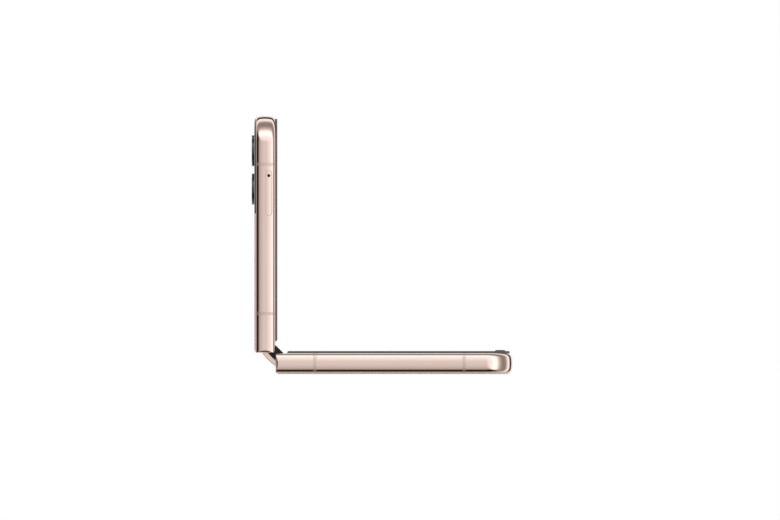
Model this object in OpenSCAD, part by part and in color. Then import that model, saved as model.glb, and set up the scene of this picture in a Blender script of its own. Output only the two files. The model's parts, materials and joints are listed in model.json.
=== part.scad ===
// Foldable phone, opened to a right angle. The lower half lies on its back glass,
// the upper half stands up at its hinge end. Both halves turn about their own axis
// of a spine between them. Millimetres, +X along the lower half away from the
// hinge, +Z up, -Y is the side with the card tray. The origin is the centre of the
// lower half's back face.
//
// Both halves are drawn lying flat: X runs from the hinge end (0) to the free end,
// Z from the outer glass (0) to the inner rim. The upper half is then stood up.

/* [Halves] */
// Length of a half from its hinge end to its free end
half_len = 82.6; // [80:0.1:92]
// Width of the phone across its side faces
body_w = 71.9; // [70:0.1:80]
// Thickness of a half from its outer glass to its inner rim
half_t = 7.4; // [7.2:0.1:8.6]
// Radius of the free corners, seen on the screen side
corner_r = 9.6; // [7:0.1:12]
// Radius of the upright edges at the hinge end
hinge_end_r = 1.1; // [0.5:0.1:1.25]
// Rounding of the rim towards the outer glass
outer_edge_r = 2.1; // [1.4:0.1:2.6]
// Rounding of the rim towards the screen
inner_edge_r = 1.9; // [1.4:0.1:2.4]
// Radius of the slight crown across the side faces
side_crown_r = 12; // [10:0.5:30]
// Rounding of the hinge end, outer corner of the side rails
end_outer_r = 1.2; // [0.6:0.1:1.6]
// Rounding of the hinge end, inner corner of the side rails
end_inner_r = 1.2; // [1.1:0.1:1.8]
// Thickness of the rails round the component space
rail_t = 1.6; // [1.4:0.1:2]
// Thickness of the side rails beside the hinge
hinge_rail_t = 1.3; // [1:0.1:1.35]
// Thickness of the plate that carries the screen
mid_t = 0.5; // [0.4:0.1:0.7]

/* [Outer glass] */
// Thickness of the outer glass
glass_t = 0.6; // [0.5:0.1:0.8]
// Distance of the outer glass from the hinge end
glass_hinge_gap = 0.8; // [0.6:0.1:1.4]
// Ledge under the edge of the outer glass, measured from the side face
ledge_w = 2.9; // [2.4:0.1:3.4]
// Thickness of that ledge
ledge_t = 0.45; // [0.4:0.05:0.7]
// Length of the black cover glass at the free end of the upper half
cover_len = 34; // [32:0.1:37]
// Distance of the cover display from the ends of that glass
cover_margin = 1.15; // [1:0.05:1.5]
// Seam between glass and its neighbours
seam = 0.05; // [0.03:0.01:0.08]

/* [Screen] */
// Thickness of the folding screen
screen_t = 0.55; // [0.4:0.05:0.7]
// Distance of the screen's edge from the side faces
screen_inset = 3.4; // [3.3:0.1:4]
// Thickness of the stiff plate behind the screen
backer_t = 0.25; // [0.2:0.05:0.4]
// Where the stiff part of the screen ends, from the hinge end
screen_stiff = 4.1; // [4:0.1:5]
// Height of the soft bezel above the inner rim
bezel_h = 0.55; // [0.4:0.05:0.8]
// Distance of the bezel from the side faces
bezel_inset = 2; // [1.8:0.1:2.2]
// Depth of the bezel's seat in the rim
bezel_seat = 0.35; // [0.3:0.05:0.45]
// How far the bezel covers the screen's edge
bezel_lap = 0.3; // [0.2:0.05:0.6]
// Distance of the bezel's ends from the hinge end
bezel_end = 4.2; // [4.15:0.05:5.5]
// Length of a rubber bumper on the bezel
bumper_l = 4.4; // [3.4:0.1:5]
// Width of a rubber bumper
bumper_w = 1.5; // [1.3:0.1:1.7]
// Height of a rubber bumper above the bezel
bumper_h = 0.35; // [0.2:0.05:0.35]
// Distance of the bumpers from the free end
bumper_in = 4; // [3.6:0.1:5]
// Bore in the screen for the front camera
punch_d = 3.2; // [2.6:0.1:3.6]
// Distance of the front camera from the free end
punch_in = 7; // [6.6:0.1:9]
// Length of the earpiece slit
ear_slit_l = 11; // [8:0.5:14]
// Width of the earpiece slit
ear_slit_w = 0.6; // [0.4:0.1:0.8]

/* [Hinge] */
// Depth of the turning axes below the inner rim
axis_depth = 0.9; // [0.8:0.05:1]
// Distance of the turning axes from the hinge ends
axis_in = 1.7; // [1.6:0.05:1.75]
// Gap between the two hinge ends when the phone is flat
flat_gap = 0.2; // [0.18:0.02:0.4]
// Depth of the spine below its axes
spine_depth = 4.1; // [4:0.05:4.3]
// Crown of the spine's outer face
crown_r = 20; // [16:1:40]
// Radius of the pocket that each half has round its axis
pocket_r = 5.5; // [5.4:0.05:5.6]
// Running gap between the spine and the pockets
spine_gap = 0.2; // [0.15:0.05:0.25]
// Wall of the spine's cover
spine_wall = 0.7; // [0.5:0.05:0.75]
// Thickness of the cover's rib at its ends
spine_rib_t = 1.58; // [1.4:0.01:1.7]
// Width of that rib
spine_rib_w = 1; // [0.6:0.1:1.4]
// Gap between the spine's ends and the side rails
end_gap = 0.15; // [0.1:0.05:0.3]
// Length of the black end caps along the spine
cap_l = 1.7; // [1.2:0.1:1.75]
// Half width of an end cap
cap_half_w = 2.1; // [1.9:0.05:2.3]
// Height of an end cap above the axes
cap_top = 1.38; // [1.1:0.02:1.42]
// Inner radius of the sliding arcs
arc_r0 = 1.9; // [1.8:0.05:2]
// Outer radius of the sliding arcs
arc_r1 = 2.8; // [2.6:0.05:2.85]
// Angle from a sliding arc's arm to its free end
arc_sweep = 98; // [75:1:98]
// Width of a sliding arc along the spine
arc_w = 3; // [2:0.5:4]
// Wall between neighbouring slots of the hinge base
slot_wall = 1; // [0.8:0.1:1.3]
// Running gap of the arcs and arms in their slots
run_gap = 0.1; // [0.08:0.01:0.12]
// Reach of the arms' windows into the hinge pocket
window_in = 2.2; // [2:0.1:2.4]
// Room below the gear's arm in its window
window_drop = 0.9; // [0.8:0.05:1]
// Thickness of the arms
arm_t = 0.6; // [0.4:0.05:0.6]
// Reach of the arms from the hinge end
arm_reach = 11.6; // [11:0.1:13]
// Distance of the arms' screws from their ends
arm_screw_in = 1.5; // [1.3:0.1:1.8]
// Length of a hinge module along the spine
module_l = 16; // [15.5:0.5:20]
// Half width of the plate under the fold of the screen
floor_half_w = 1.6; // [1.2:0.1:1.7]
// Thickness of that plate
floor_t = 0.35; // [0.25:0.05:0.35]
// Width of the rib that carries it
floor_rib_w = 2; // [1.2:0.1:2.4]

/* [Gears] */
// Teeth on each gear
teeth = 10; // [8:2:12]
// Distance of the arm gears from the middle of the spine
gear_x = 3.2; // [3.1:0.05:3.3]
// Depth of the gear shafts below the turning axes
gear_z = 1.6; // [1.55:0.05:1.65]
// Width of the gears
gear_w = 2; // [1.5:0.1:2.4]
// Height of a tooth above the pitch circle
tooth_top = 0.19; // [0.15:0.01:0.2]
// Depth of a tooth below the pitch circle
tooth_root = 0.25; // [0.22:0.01:0.28]
// Share of a pitch that a tooth fills at the pitch circle
tooth_fill = 0.4; // [0.34:0.01:0.42]
// Diameter of the gear shafts
shaft_d = 0.7; // [0.5:0.05:0.8]
// Radial clearance of the gears on their shafts
shaft_gap = 0.04; // [0.03:0.01:0.06]
// Radial clearance of the shafts in the base
shaft_fit = 0.02; // [0.01:0.01:0.03]
// How far the shafts enter the wall before the gears
shaft_seat = 0.5; // [0.3:0.1:0.6]
// Room round the gears and springs in the base
gear_gap = 0.15; // [0.1:0.01:0.2]
// Outer radius of the friction springs
spring_r = 0.95; // [0.8:0.05:1]
// Reach of the synchronising arms from their shafts, phone flat
sync_reach = 6.4; // [6:0.1:7]
// Height of those arms above their shafts
sync_rise = 0.42; // [0.4:0.01:0.46]
// Thickness of those arms
sync_t = 0.48; // [0.4:0.02:0.48]

/* [Cameras] */
// Diameter of the camera rings
ring_d = 11; // [10:0.1:12]
// Height of the rings above the cover glass
ring_h = 1; // [0.6:0.1:1.3]
// Distance of the outer ring's centre from the free end
ring_in = 11.8; // [10.5:0.1:13]
// Distance between the ring centres
ring_pitch = 13.4; // [12.6:0.1:14.5]
// Distance of the ring centres from the side face
ring_side = 12; // [11:0.1:14]
// Diameter of the ring's neck in the cover glass
ring_neck_d = 9.8; // [9:0.1:9.9]
// Diameter of a lens glass
lens_d = 8.8; // [8:0.1:9]
// Thickness of a lens glass
lens_t = 0.4; // [0.3:0.05:0.45]
// Depth of the lens glass below the ring's rim
lens_drop = 0.25; // [0.15:0.05:0.4]
// Diameter of a camera barrel
barrel_d = 7.4; // [6.5:0.1:7.7]
// Side of a camera's square base
camera_base = 9.6; // [8.5:0.1:10.5]
// Diameter of the flash window
flash_d = 3.6; // [3:0.1:4.4]
// Distance of the flash from the ring centres
flash_side = 9; // [8.4:0.1:11]

/* [Card tray] */
// Length of the tray's face
tray_l = 15.7; // [15:0.1:17]
// Width of the tray's face
tray_w = 2.15; // [1.9:0.05:2.2]
// Distance of the tray's centre from the free end
tray_in = 27.1; // [26:0.1:29]
// Height of the tray's centre above the outer glass
tray_n = 5.05; // [4.9:0.05:5.1]
// Depth of the tray behind its face
tray_depth = 20; // [18:0.5:21]
// Thickness of the tray behind its face
tray_t = 1.3; // [1.1:0.05:1.4]
// Gap round the tray's face
tray_gap = 0.06; // [0.04:0.01:0.08]
// Setback of the tray's body from each end of its face
tray_neck = 0.6; // [0.5:0.05:0.9]
// Diameter of the eject hole
eject_d = 1.1; // [0.9:0.05:1.2]
// Distance of the eject hole from the tray's end
eject_in = 1.65; // [1.5:0.05:2.2]
// Length of the card
card_l = 12.3; // [12:0.1:12.5]
// Depth of the card along the tray
card_d = 8.8; // [8.5:0.1:9]
// Thickness of the card
card_t = 0.67; // [0.6:0.01:0.7]

/* [Keys] */
// Length of the volume rocker
rocker_l = 20; // [17:0.5:22]
// Distance of the rocker's centre from the free end
rocker_in = 28.6; // [28:0.1:30]
// Length of the power key
power_l = 14; // [11:0.5:15]
// Space between the two keys
key_space = 4; // [3:0.1:6]
// Width of the keys
key_w = 2.3; // [1.9:0.1:2.4]
// Height of the keys' centre above the outer glass
key_n = 3.7; // [3.4:0.1:3.9]
// Height of the rocker above the side face
key_proud = 0.4; // [0.35:0.05:0.7]
// Gap round the keys
key_gap = 0.1; // [0.08:0.01:0.14]
// Flange that holds a key inside the rail
key_flange = 0.7; // [0.5:0.1:0.8]
// Thickness of that flange
key_flange_t = 0.45; // [0.3:0.05:0.5]
// Travel of the keys
key_travel = 0.25; // [0.2:0.05:0.3]
// Radius of the rib on which the rocker tips
key_pivot_r = 0.3; // [0.27:0.01:0.4]
// Thickness of the key switches' flex
flex_t = 0.3; // [0.2:0.05:0.4]

/* [Antenna bands] */
// Width of an antenna band
band_w = 1.2; // [0.8:0.1:1.6]
// Distance of the outer bands from the free end
band_free = 17; // [16:0.1:17.3]
// Distance of the inner bands from the hinge end
band_hinge = 13.7; // [13:0.1:16]

/* [Insides] */
// Gap left round the parts in the halves
play = 0.3; // [0.2:0.05:0.35]
// Length of the board space at the free end of a half
board_l = 36.5; // [34:0.5:38]
// Gap between the upper battery and the key switches' flex
battery_side = 2.5; // [2:0.1:5]
// Thickness of a battery
battery_t = 4.4; // [3.6:0.1:4.6]
// Thickness of the circuit boards
board_t = 0.8; // [0.6:0.1:1]
// Height of the boards above the outer glass
board_n = 3.1; // [3:0.05:3.25]
// Thickness of the chips' shields
shield_t = 1.1; // [0.9:0.1:1.2]
// Diameter of the screw posts
post_d = 3; // [2.6:0.1:3.4]
// Distance of the lower half's posts from the middle
lower_post_y = 25; // [24.5:0.5:28]
// Distance of the upper half's posts from the middle
upper_post_y = 12; // [11.5:0.1:12.2]
// Diameter of a screw's shank
screw_d = 1; // [0.8:0.1:1.2]
// Diameter of a screw's head
screw_head_d = 2; // [1.6:0.1:2.2]
// Height of a screw's head
screw_head_h = 0.4; // [0.3:0.05:0.45]
// Thickness of the cover display behind its glass
panel_t = 0.8; // [0.6:0.1:0.9]
// Outer diameter of the charging coil
coil_d = 30; // [24:1:31]
// Inner diameter of the charging coil
coil_bore = 10; // [8:1:16]
// Thickness of the charging coil
coil_t = 0.3; // [0.2:0.05:0.3]
// Length of the loudspeaker box
speaker_l = 12.9; // [11:0.1:13.2]
// Width of the loudspeaker box
speaker_w = 13.8; // [12:0.1:14]
// Diameter of the vibration motor
motor_d = 9; // [8:0.5:9.5]
// Thickness of the vibration motor
motor_t = 4.4; // [3.6:0.1:4.6]
// Distance of the vibration motor from the side rail
motor_side = 14.3; // [14:0.1:15]
// Distance of the vibration motor from the end rail
motor_in = 14; // [13:0.5:15]
// Length of a closing magnet
magnet_l = 5; // [3:0.5:6]
// Width and thickness of a closing magnet
magnet_t = 2; // [1.4:0.1:2.2]
// Distance of the closing magnets from the end rail
magnet_in = 16; // [14:0.5:18]
// Distance of the shields from the board's edge
shield_in = 5; // [4:0.5:6]
// Length of the lower half's shield
sub_shield_l = 14; // [10:0.5:16]
// Width of the lower half's shield
sub_shield_w = 20; // [14:0.5:22]
// Length of the narrow shield on the main board
radio_shield_l = 12; // [9:0.5:14]
// Width of that shield
radio_shield_w = 22; // [16:0.5:23]
// Length of the wide shield on the main board
chip_shield_l = 20; // [15:0.5:22]
// Width of that shield
chip_shield_w = 14; // [10:0.5:15]
// Width of the port's opening
port_w = 8.4; // [8.3:0.1:8.6]
// Height of the port's opening
port_h = 2.6; // [2.5:0.1:2.7]
// Wall of the port's shell
port_wall = 0.3; // [0.2:0.05:0.35]
// Depth of the port
port_d = 7.2; // [6.8:0.1:8]
// Setback of the port's shell from the side face
port_in = 0.5; // [0.3:0.1:0.8]
// Thickness of the port's tongue
tongue_t = 0.7; // [0.6:0.05:0.8]
// Gap between the tongue and the shell on each side
tongue_side = 0.9; // [0.7:0.1:1.1]
// Setback of the tongue from the port's mouth
tongue_in = 0.7; // [0.5:0.1:1.2]
// Distance of the first loudspeaker hole from the middle
hole_in = 8.4; // [8:0.1:9]
// Diameter of a loudspeaker hole
hole_d = 1.1; // [0.9:0.1:1.4]
// Loudspeaker holes
holes = 6; // [4:1:7]
// Distance between the loudspeaker holes
hole_pitch = 2.1; // [1.8:0.1:2.2]
// Diameter of a microphone hole
mic_d = 0.9; // [0.7:0.1:1]
// Distance of the microphone holes from the middle
mic_y = 8.4; // [8:0.1:12]
// Side of the front camera's case
selfie_base = 5.2; // [4.8:0.1:5.4]
// Thickness of that case
selfie_t = 2; // [1.6:0.1:2.2]
// Depth of the earpiece along the half
ear_l = 2.5; // [2:0.1:2.6]
// Thickness of the earpiece
ear_t = 2; // [1.6:0.1:2.2]
// Wall of the card socket
socket_wall = 0.25; // [0.2:0.01:0.3]
// Distance of the card from the tray's face
card_in = 4.5; // [4:0.1:5]

/* [Hidden] */
$fn = 96;
cut = 1;
crown_chords = 3;
edge_chords = 7;
core_lap = 1;
rest_turn = 45;

gold = [0.86, 0.74, 0.69];
pink_glass = [0.89, 0.76, 0.71];
black = [0.03, 0.03, 0.035];
soft_black = [0.09, 0.085, 0.085];
steel = [0.6, 0.6, 0.62];
board_green = [0.05, 0.2, 0.14];
copper = [0.72, 0.42, 0.25];

// heights in a half, from the outer glass
screen_n = half_t - screen_t;
backer_n = screen_n - backer_t;
mid_n = backer_n - mid_t;
axis_n = half_t - axis_depth;
bezel_n = half_t - bezel_seat;
cavity_n = glass_t + ledge_t;
bezel_top = half_t + bezel_h;
edge_w = outer_edge_r + inner_edge_r;
band_depth = rail_t - seam;

// the spine and the axes
axis_gap = 2 * axis_in + flat_gap;
axis_x = axis_gap / 2;
spine_r = pocket_r - spine_gap;
spine_w = body_w - 2 * (hinge_rail_t + end_gap);
arm_n = mid_n - arm_t;
arm_z = arm_n - axis_n;
spine_top = arm_z - 0.4;
floor_top = half_t - screen_t - axis_n - 0.25;
floor_z = floor_top - floor_t;
module_y = spine_w / 2 - cap_l - seam;
pitch_r = gear_x / 3;
tip_r = pitch_r + tooth_top;
root_r = pitch_r - tooth_root;
slot_1 = slot_wall + arc_w / 2;
slot_2 = slot_1 + arc_w + slot_wall;
gear_y = slot_2 + arc_w / 2 + slot_wall + gear_w / 2;
spring_y = gear_y + gear_w / 2 + slot_wall;
shaft_y = gear_y - gear_w / 2 - shaft_seat;

// the halves' inner limits
pocket_end = axis_in + pocket_r;
bulkhead = pocket_end + 1.2;
cavity_end = half_len - rail_t;
cavity_w = body_w - 2 * rail_t;
board_end = cavity_end - play;
board_s = board_end - board_l;
battery_s = arm_reach + play;
battery_l = board_s - play - battery_s;
ring_s = [half_len - ring_in, half_len - ring_in - ring_pitch];
ring_y = body_w / 2 - ring_side;
camera_edge = ring_y - camera_base / 2 - play;
tray_s = half_len - tray_in;
rocker_s = half_len - rocker_in;
power_s = rocker_s - (rocker_l + power_l) / 2 - key_space;
rocker_y = cavity_w / 2 - key_flange_t - key_travel;
power_y = cavity_w / 2 - key_flange_t - seam;
flex_y = rocker_y - key_pivot_r - seam - flex_t;
battery_w = 2 * (flex_y - battery_side);
port_n = board_n + board_t + 0.6;
cover_s = half_len - cover_len;
port_s = half_len - port_in - port_d;
port_shell_l = port_d + port_in - rail_t - seam;
glass_gap = 0.2;
speaker_side = 1.5;

// ---- placing

module lower_half() { translate([-half_len / 2, 0, 0]) children(); }

module spine_frame() {
    translate([axis_in - half_len / 2, 0, axis_n])
        rotate([0, rest_turn, 0])
            translate([-axis_x, 0, 0])
                children();
}

function lower_axis() = [axis_in - half_len / 2, axis_n];
function upper_axis() =
    lower_axis() + axis_gap * [-cos(rest_turn), sin(rest_turn)];

module upper_half() {
    translate([upper_axis()[0] - axis_n, 0, upper_axis()[1] - axis_in])
        mirror([1, 0, -1])
            children();
}

module both_sides() {
    for (q = [0, 1]) mirror([0, q, 0]) children();
}

// ---- outlines

// Outline of a half from s0 to s1, w wide, free corners r, hinge corners r0
module plan(s0, s1, w, r, r0 = 0) {
    translate([s0 + r0, -w / 2]) square([s1 - s0 - r0 - r, w]);
    translate([s1 - r, r - w / 2]) square([r, w - 2 * r]);
    for (q = [-1, 1]) translate([s1 - r, q * (w / 2 - r)]) circle(r);
    if (r0 > 0) {
        translate([s0, r0 - w / 2]) square([r0, w - 2 * r0]);
        for (q = [-1, 1]) translate([s0 + r0, q * (w / 2 - r0)]) circle(r0);
    }
}

// Slab that follows the half's outline at an inset, from n0 to n1
module layer(s0, inset, n0, n1, r0 = 0) {
    translate([0, 0, n0])
        linear_extrude(n1 - n0)
            plan(s0, half_len - inset, body_w - 2 * inset, corner_r - inset, r0);
}

// Cut that rounds a square corner
module corner_cut(r) {
    difference() {
        translate([-cut, -cut]) square(r + cut);
        translate([r, r]) circle(r);
    }
}

// Centre of an edge's rounding, which meets the crown of the side face smoothly
function edge_centre(r) =
    [side_crown_r - sqrt(pow(side_crown_r - r, 2) - pow(half_t / 2 - r, 2)), r];

// Angle at which they meet, seen from the crown's centre
function crown_angle(r) =
    let (d = edge_centre(r) - [side_crown_r, half_t / 2]) atan2(-d[1], -d[0]);

// Points of an arc, its angles taken clockwise from the outward direction
function arc_points(centre, r, a0, a1, count) = [
    for (k = [0 : count])
        let (a = a0 + k / count * (a1 - a0)) centre - r * [cos(a), sin(a)]
];

// Upper part of the rim's outline, from the middle of the side face to its edge
function edge_points(r) =
    let (a = crown_angle(r), m = [side_crown_r, half_t / 2])
        concat(
            arc_points(m, side_crown_r, 0, a, crown_chords),
            arc_points(edge_centre(r), r, a, 90, edge_chords)
        );

// Section of the rim, from the side face inwards. Its curves are rows of chords.
module edge_section() {
    outer = edge_points(outer_edge_r);
    inner = edge_points(inner_edge_r);
    polygon(concat(
        [[edge_w, half_t]],
        [for (k = [len(inner) - 1 : -1 : 1]) if (k != crown_chords) [inner[k][0], half_t - inner[k][1]]],
        [for (k = [0 : len(outer) - 1]) if (k != crown_chords) outer[k]],
        [[edge_w, 0]]
    ));
}

module edge_run(l) { rotate([90, 0, 90]) linear_extrude(l) edge_section(); }

// A half as one solid block with its rounded rim
module half_block() {
    run = half_len - corner_r;
    core_in = edge_w - core_lap;
    difference() {
        union() {
            both_sides() {
                translate([0, -body_w / 2, 0]) edge_run(run);
                translate([run, body_w / 2 - corner_r, 0])
                    rotate_extrude(angle = 90)
                        translate([corner_r, 0]) mirror([1, 0]) edge_section();
            }
            translate([half_len, corner_r - body_w / 2, 0])
                rotate([0, 0, 90]) edge_run(body_w - 2 * corner_r);
            linear_extrude(half_t)
                plan(0, half_len - core_in, body_w - 2 * core_in, corner_r - core_in);
        }
        both_sides()
            translate([0, -body_w / 2, -cut])
                linear_extrude(half_t + 2 * cut) corner_cut(hinge_end_r);
        translate([0, body_w, 0]) rotate([90, 0, 0])
            linear_extrude(2 * body_w) {
                corner_cut(end_outer_r);
                translate([0, half_t]) mirror([0, 1]) corner_cut(end_inner_r);
            }
    }
}

// Space of the outer glass from s0 to s1, over the whole width
module glass_slab(s0, s1) {
    translate([s0, -body_w, -cut]) cube([s1 - s0, 2 * body_w, glass_t + cut]);
}

// The metal of a half before its bands and openings, its screw posts post_y off
// the middle
module shell(post_y) {
    inner_w = body_w - 2 * hinge_rail_t;
    shelf = screen_stiff - seam;
    union() {
        difference() {
            half_block();
            glass_slab(glass_hinge_gap, half_len + cut);
            layer(bulkhead + 0.8, ledge_w, glass_t - seam, cavity_n + seam, 1);
            layer(bulkhead, rail_t, cavity_n, mid_n, 0.5);
            layer(-cut, screen_inset - seam, backer_n, half_t + cut);
            layer(bezel_end - seam, bezel_inset - seam, bezel_n, half_t + cut);
            translate([0, inner_w / 2, 0]) rotate([90, 0, 0]) linear_extrude(inner_w) {
                intersection() {
                    translate([axis_in, axis_n]) circle(pocket_r);
                    translate([-2 * pocket_r, -pocket_r])
                        square([4 * pocket_r, mid_n + pocket_r]);
                }
                translate([-cut, mid_n - seam])
                    square([shelf + cut, half_t]);
            }
            both_sides() arm_windows();
        }
        for (p = post_places(post_y)) translate([p[0], p[1], board_n + board_t])
            cylinder(d = post_d, h = mid_n - board_n - board_t);
    }
}

// Windows in the wall behind the hinge pocket, for the arms
module arm_windows() {
    wall = [pocket_end - window_in, bulkhead + 0.1];
    module window(y, w, n) {
        translate([wall[0], y - w / 2, n])
            cube([wall[1] - wall[0], w, mid_n - n]);
    }
    window(module_y - slot_1, arc_w + 2 * run_gap, arm_n - run_gap);
    window(module_y - slot_2, arc_w + 2 * run_gap, arm_n - run_gap);
    window(module_y - gear_y, gear_w + 2 * run_gap, arm_n - window_drop);
}

function post_places(post_y) = [
    for (s = [board_s + post_d, board_end - 2 * post_d]) for (y = [-post_y, post_y])
        [s, y]
];

function band_places() = [band_hinge, half_len - band_free];

module band_boxes() {
    both_sides()
        for (s = band_places())
            translate([s - band_w / 2, -body_w / 2 - cut, -cut])
                cube([band_w, band_depth + cut, half_t + 2 * cut]);
}

// Section of a side rail as deep as an antenna band
module band_section() {
    difference() {
        intersection() {
            edge_section();
            square([band_depth, half_t]);
        }
        translate([-cut, -cut]) square([rail_t + 2 * cut, glass_t + cut]);
        translate([bezel_inset - seam, bezel_n]) square([rail_t, half_t]);
    }
}

module bands() {
    both_sides()
        for (s = band_places())
            translate([s - band_w / 2, -body_w / 2, 0])
                rotate([90, 0, 90]) linear_extrude(band_w) band_section();
}

module stadium(l, w) {
    translate([-(l - w) / 2, -w / 2]) square([l - w, w]);
    for (q = [-1, 1]) translate([q * (l - w) / 2, 0]) circle(d = w);
}

// Cut or plug through the rail at side q, long along the half
module side_slot(s, n, l, w, y0, y1) {
    translate([s, y1, n]) rotate([90, 0, 0]) linear_extrude(y1 - y0) stadium(l, w);
}

// ---- lower half

module lower_frame() {
    color(gold) lower_half() difference() {
        shell(lower_post_y);
        band_boxes();
        translate([cavity_end - cut, 0, port_n]) rotate([90, 0, 90])
            linear_extrude(rail_t + 2 * cut) stadium(port_w, port_h);
        for (y = hole_row()) translate([cavity_end - cut, y, port_n])
            rotate([0, 90, 0]) cylinder(d = hole_d, h = rail_t + 2 * cut);
        translate([cavity_end - cut, mic_y, port_n])
            rotate([0, 90, 0]) cylinder(d = mic_d, h = rail_t + 2 * cut);
    }
}

function hole_row() = [for (k = [0 : holes - 1]) -hole_in - k * hole_pitch];

module lower_bands() { color(pink_glass) lower_half() bands(); }

// Outer glass from s0 to s1. It carries the rim's rounding on to its own edge.
module outer_glass(s0, s1) {
    intersection() {
        half_block();
        glass_slab(s0, s1);
    }
}

module lower_back_glass() {
    color(pink_glass) lower_half() outer_glass(glass_hinge_gap + seam, half_len + cut);
}

module bezel(lap) {
    inner = screen_inset + lap;
    difference() {
        layer(bezel_end, bezel_inset, bezel_n, bezel_top);
        layer(0, screen_inset - seam, 0, half_t);
        layer(0, inner, half_t - seam, bezel_top + cut);
    }
}

function bumper_place() =
    let (
        r = corner_r - (bezel_inset + screen_inset + bezel_lap) / 2,
        a = asin((corner_r - bumper_in) / r)
    ) [half_len - corner_r + r * sin(a), body_w / 2 - corner_r + r * cos(a), a];

module lower_bezel() { color(soft_black) lower_half() bezel(bezel_lap); }

module lower_bumpers() {
    p = bumper_place();
    color(black) lower_half() both_sides()
        translate([p[0], p[1], bezel_top]) rotate([0, 0, -p[2]])
            linear_extrude(bumper_h) stadium(bumper_l, bumper_w);
}

module screen_plate(n0, n1) {
    layer(screen_stiff, screen_inset, n0, n1);
}

module display_lower() { color(black) lower_half() screen_plate(screen_n, half_t); }

module lower_backer() { color(steel) lower_half() screen_plate(backer_n, screen_n); }

module battery() {
    translate([battery_s, -battery_w / 2, mid_n - battery_t])
        cube([battery_l, battery_w, battery_t]);
}

module lower_battery() { color(soft_black) lower_half() battery(); }

module screw_hole(p) {
    translate([p[0], p[1], board_n - cut])
        cylinder(d = screw_d + run_gap, h = board_t + 2 * cut);
}

// Circuit board up to y1, with its screw holes
module board_blank(y1, post_y) {
    difference() {
        intersection() {
            layer(board_s, rail_t + play, board_n, board_n + board_t);
            translate([0, y1 - body_w, 0]) cube([half_len, body_w, half_t]);
        }
        for (p = post_places(post_y)) screw_hole(p);
    }
}

module sub_board() {
    color(board_green) lower_half() difference() {
        board_blank(body_w / 2, lower_post_y);
        motor(play);
        speaker(play);
        translate([port_s - play, -port_w / 2 - port_wall - play, 0])
            cube([port_d + 2 * play, port_w + 2 * port_wall + 2 * play, half_t]);
    }
}

module sub_board_shield() {
    color(steel) lower_half()
        translate([board_s + shield_in, -sub_shield_w / 2, board_n - shield_t])
            cube([sub_shield_l, sub_shield_w, shield_t]);
}

module usb_shell() {
    color(steel) lower_half()
        translate([port_s, 0, port_n]) rotate([90, 0, 90])
            difference() {
                linear_extrude(port_shell_l)
                    stadium(port_w + 2 * port_wall, port_h + 2 * port_wall);
                translate([0, 0, port_wall])
                    linear_extrude(port_d) stadium(port_w, port_h);
            }
}

module usb_tongue() {
    tongue_w = port_w - 2 * tongue_side;
    color(soft_black) lower_half()
        translate([port_s + port_wall, -tongue_w / 2, port_n - tongue_t / 2])
            cube([port_d - port_wall - port_in - tongue_in, tongue_w, tongue_t]);
}

// Loudspeaker box, or with a gap g round it the room that it needs
module speaker(g = 0) {
    base = cavity_n + glass_gap;
    y0 = -hole_in - (holes - 1) * hole_pitch - speaker_side;
    translate([cavity_end - seam - speaker_l - g, y0 - g, base - g])
        cube([speaker_l + g, speaker_w + 2 * g, mid_n - base + g]);
}

module loudspeaker() { color(soft_black) lower_half() speaker(); }

// Vibration motor, or with a gap g round it the room that it needs
module motor(g = 0) {
    translate([cavity_end - motor_in, cavity_w / 2 - motor_side, mid_n - motor_t - g])
        cylinder(d = motor_d + 2 * g, h = motor_t + g);
}

module vibration_motor() { color(steel) lower_half() motor(); }

module charging_coil() {
    color(copper) lower_half()
        translate([battery_s + battery_l / 2, 0, mid_n - battery_t - coil_t])
            difference() {
                cylinder(d = coil_d, h = coil_t);
                translate([0, 0, -cut]) cylinder(d = coil_bore, h = coil_t + 2 * cut);
            }
}

module magnets() {
    both_sides()
        translate([cavity_end - magnet_in, cavity_w / 2 - play - magnet_t, mid_n - magnet_t])
            cube([magnet_l, magnet_t, magnet_t]);
}

module lower_magnets() { color(steel) lower_half() magnets(); }

// Screw from the outer side, its head under n
module screw(s, y, n, l) {
    translate([s, y, n - screw_head_h]) cylinder(d = screw_head_d, h = screw_head_h);
    translate([s, y, n - 0.01]) cylinder(d = screw_d, h = l + 0.01);
}

module half_screws(post_y) {
    for (p = post_places(post_y)) screw(p[0], p[1], board_n, board_t);
    both_sides() for (y = [slot_1, slot_2])
        screw(arm_reach - arm_screw_in, module_y - y, arm_n, arm_t);
}

module lower_screws() { color(steel) lower_half() half_screws(lower_post_y); }

// ---- hinge, drawn with the turning axes at [-axis_x, 0] and [axis_x, 0]

module round_hull(r) {
    for (q = [-1, 1]) translate([q * axis_x, 0]) circle(r);
    translate([-axis_x, -r]) square([2 * axis_x, 2 * r]);
}

module spine_section(side, floor) {
    intersection() {
        round_hull(spine_r - side);
        translate([0, crown_r - spine_depth]) circle(crown_r - floor);
        translate([-2 * pocket_r, -2 * pocket_r])
            square([4 * pocket_r, 2 * pocket_r + spine_top]);
    }
}

// Extrude an X-Z section along Y, from y0 to y1
module along_spine(y0, y1) {
    translate([0, y1, 0]) rotate([90, 0, 0]) linear_extrude(y1 - y0) children();
}

module spine_cover() {
    color(gold) spine_frame() difference() {
        along_spine(-spine_w / 2, spine_w / 2) spine_section(0, 0);
        along_spine(-spine_w / 2 + spine_rib_w, spine_w / 2 - spine_rib_w)
            spine_section(spine_wall, spine_wall);
        along_spine(-spine_w, spine_w)
            translate([0, cut]) spine_section(spine_wall, spine_rib_t + cut);
        along_spine(-spine_w, spine_w) spine_section(spine_wall, spine_rib_t);
    }
}

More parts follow.
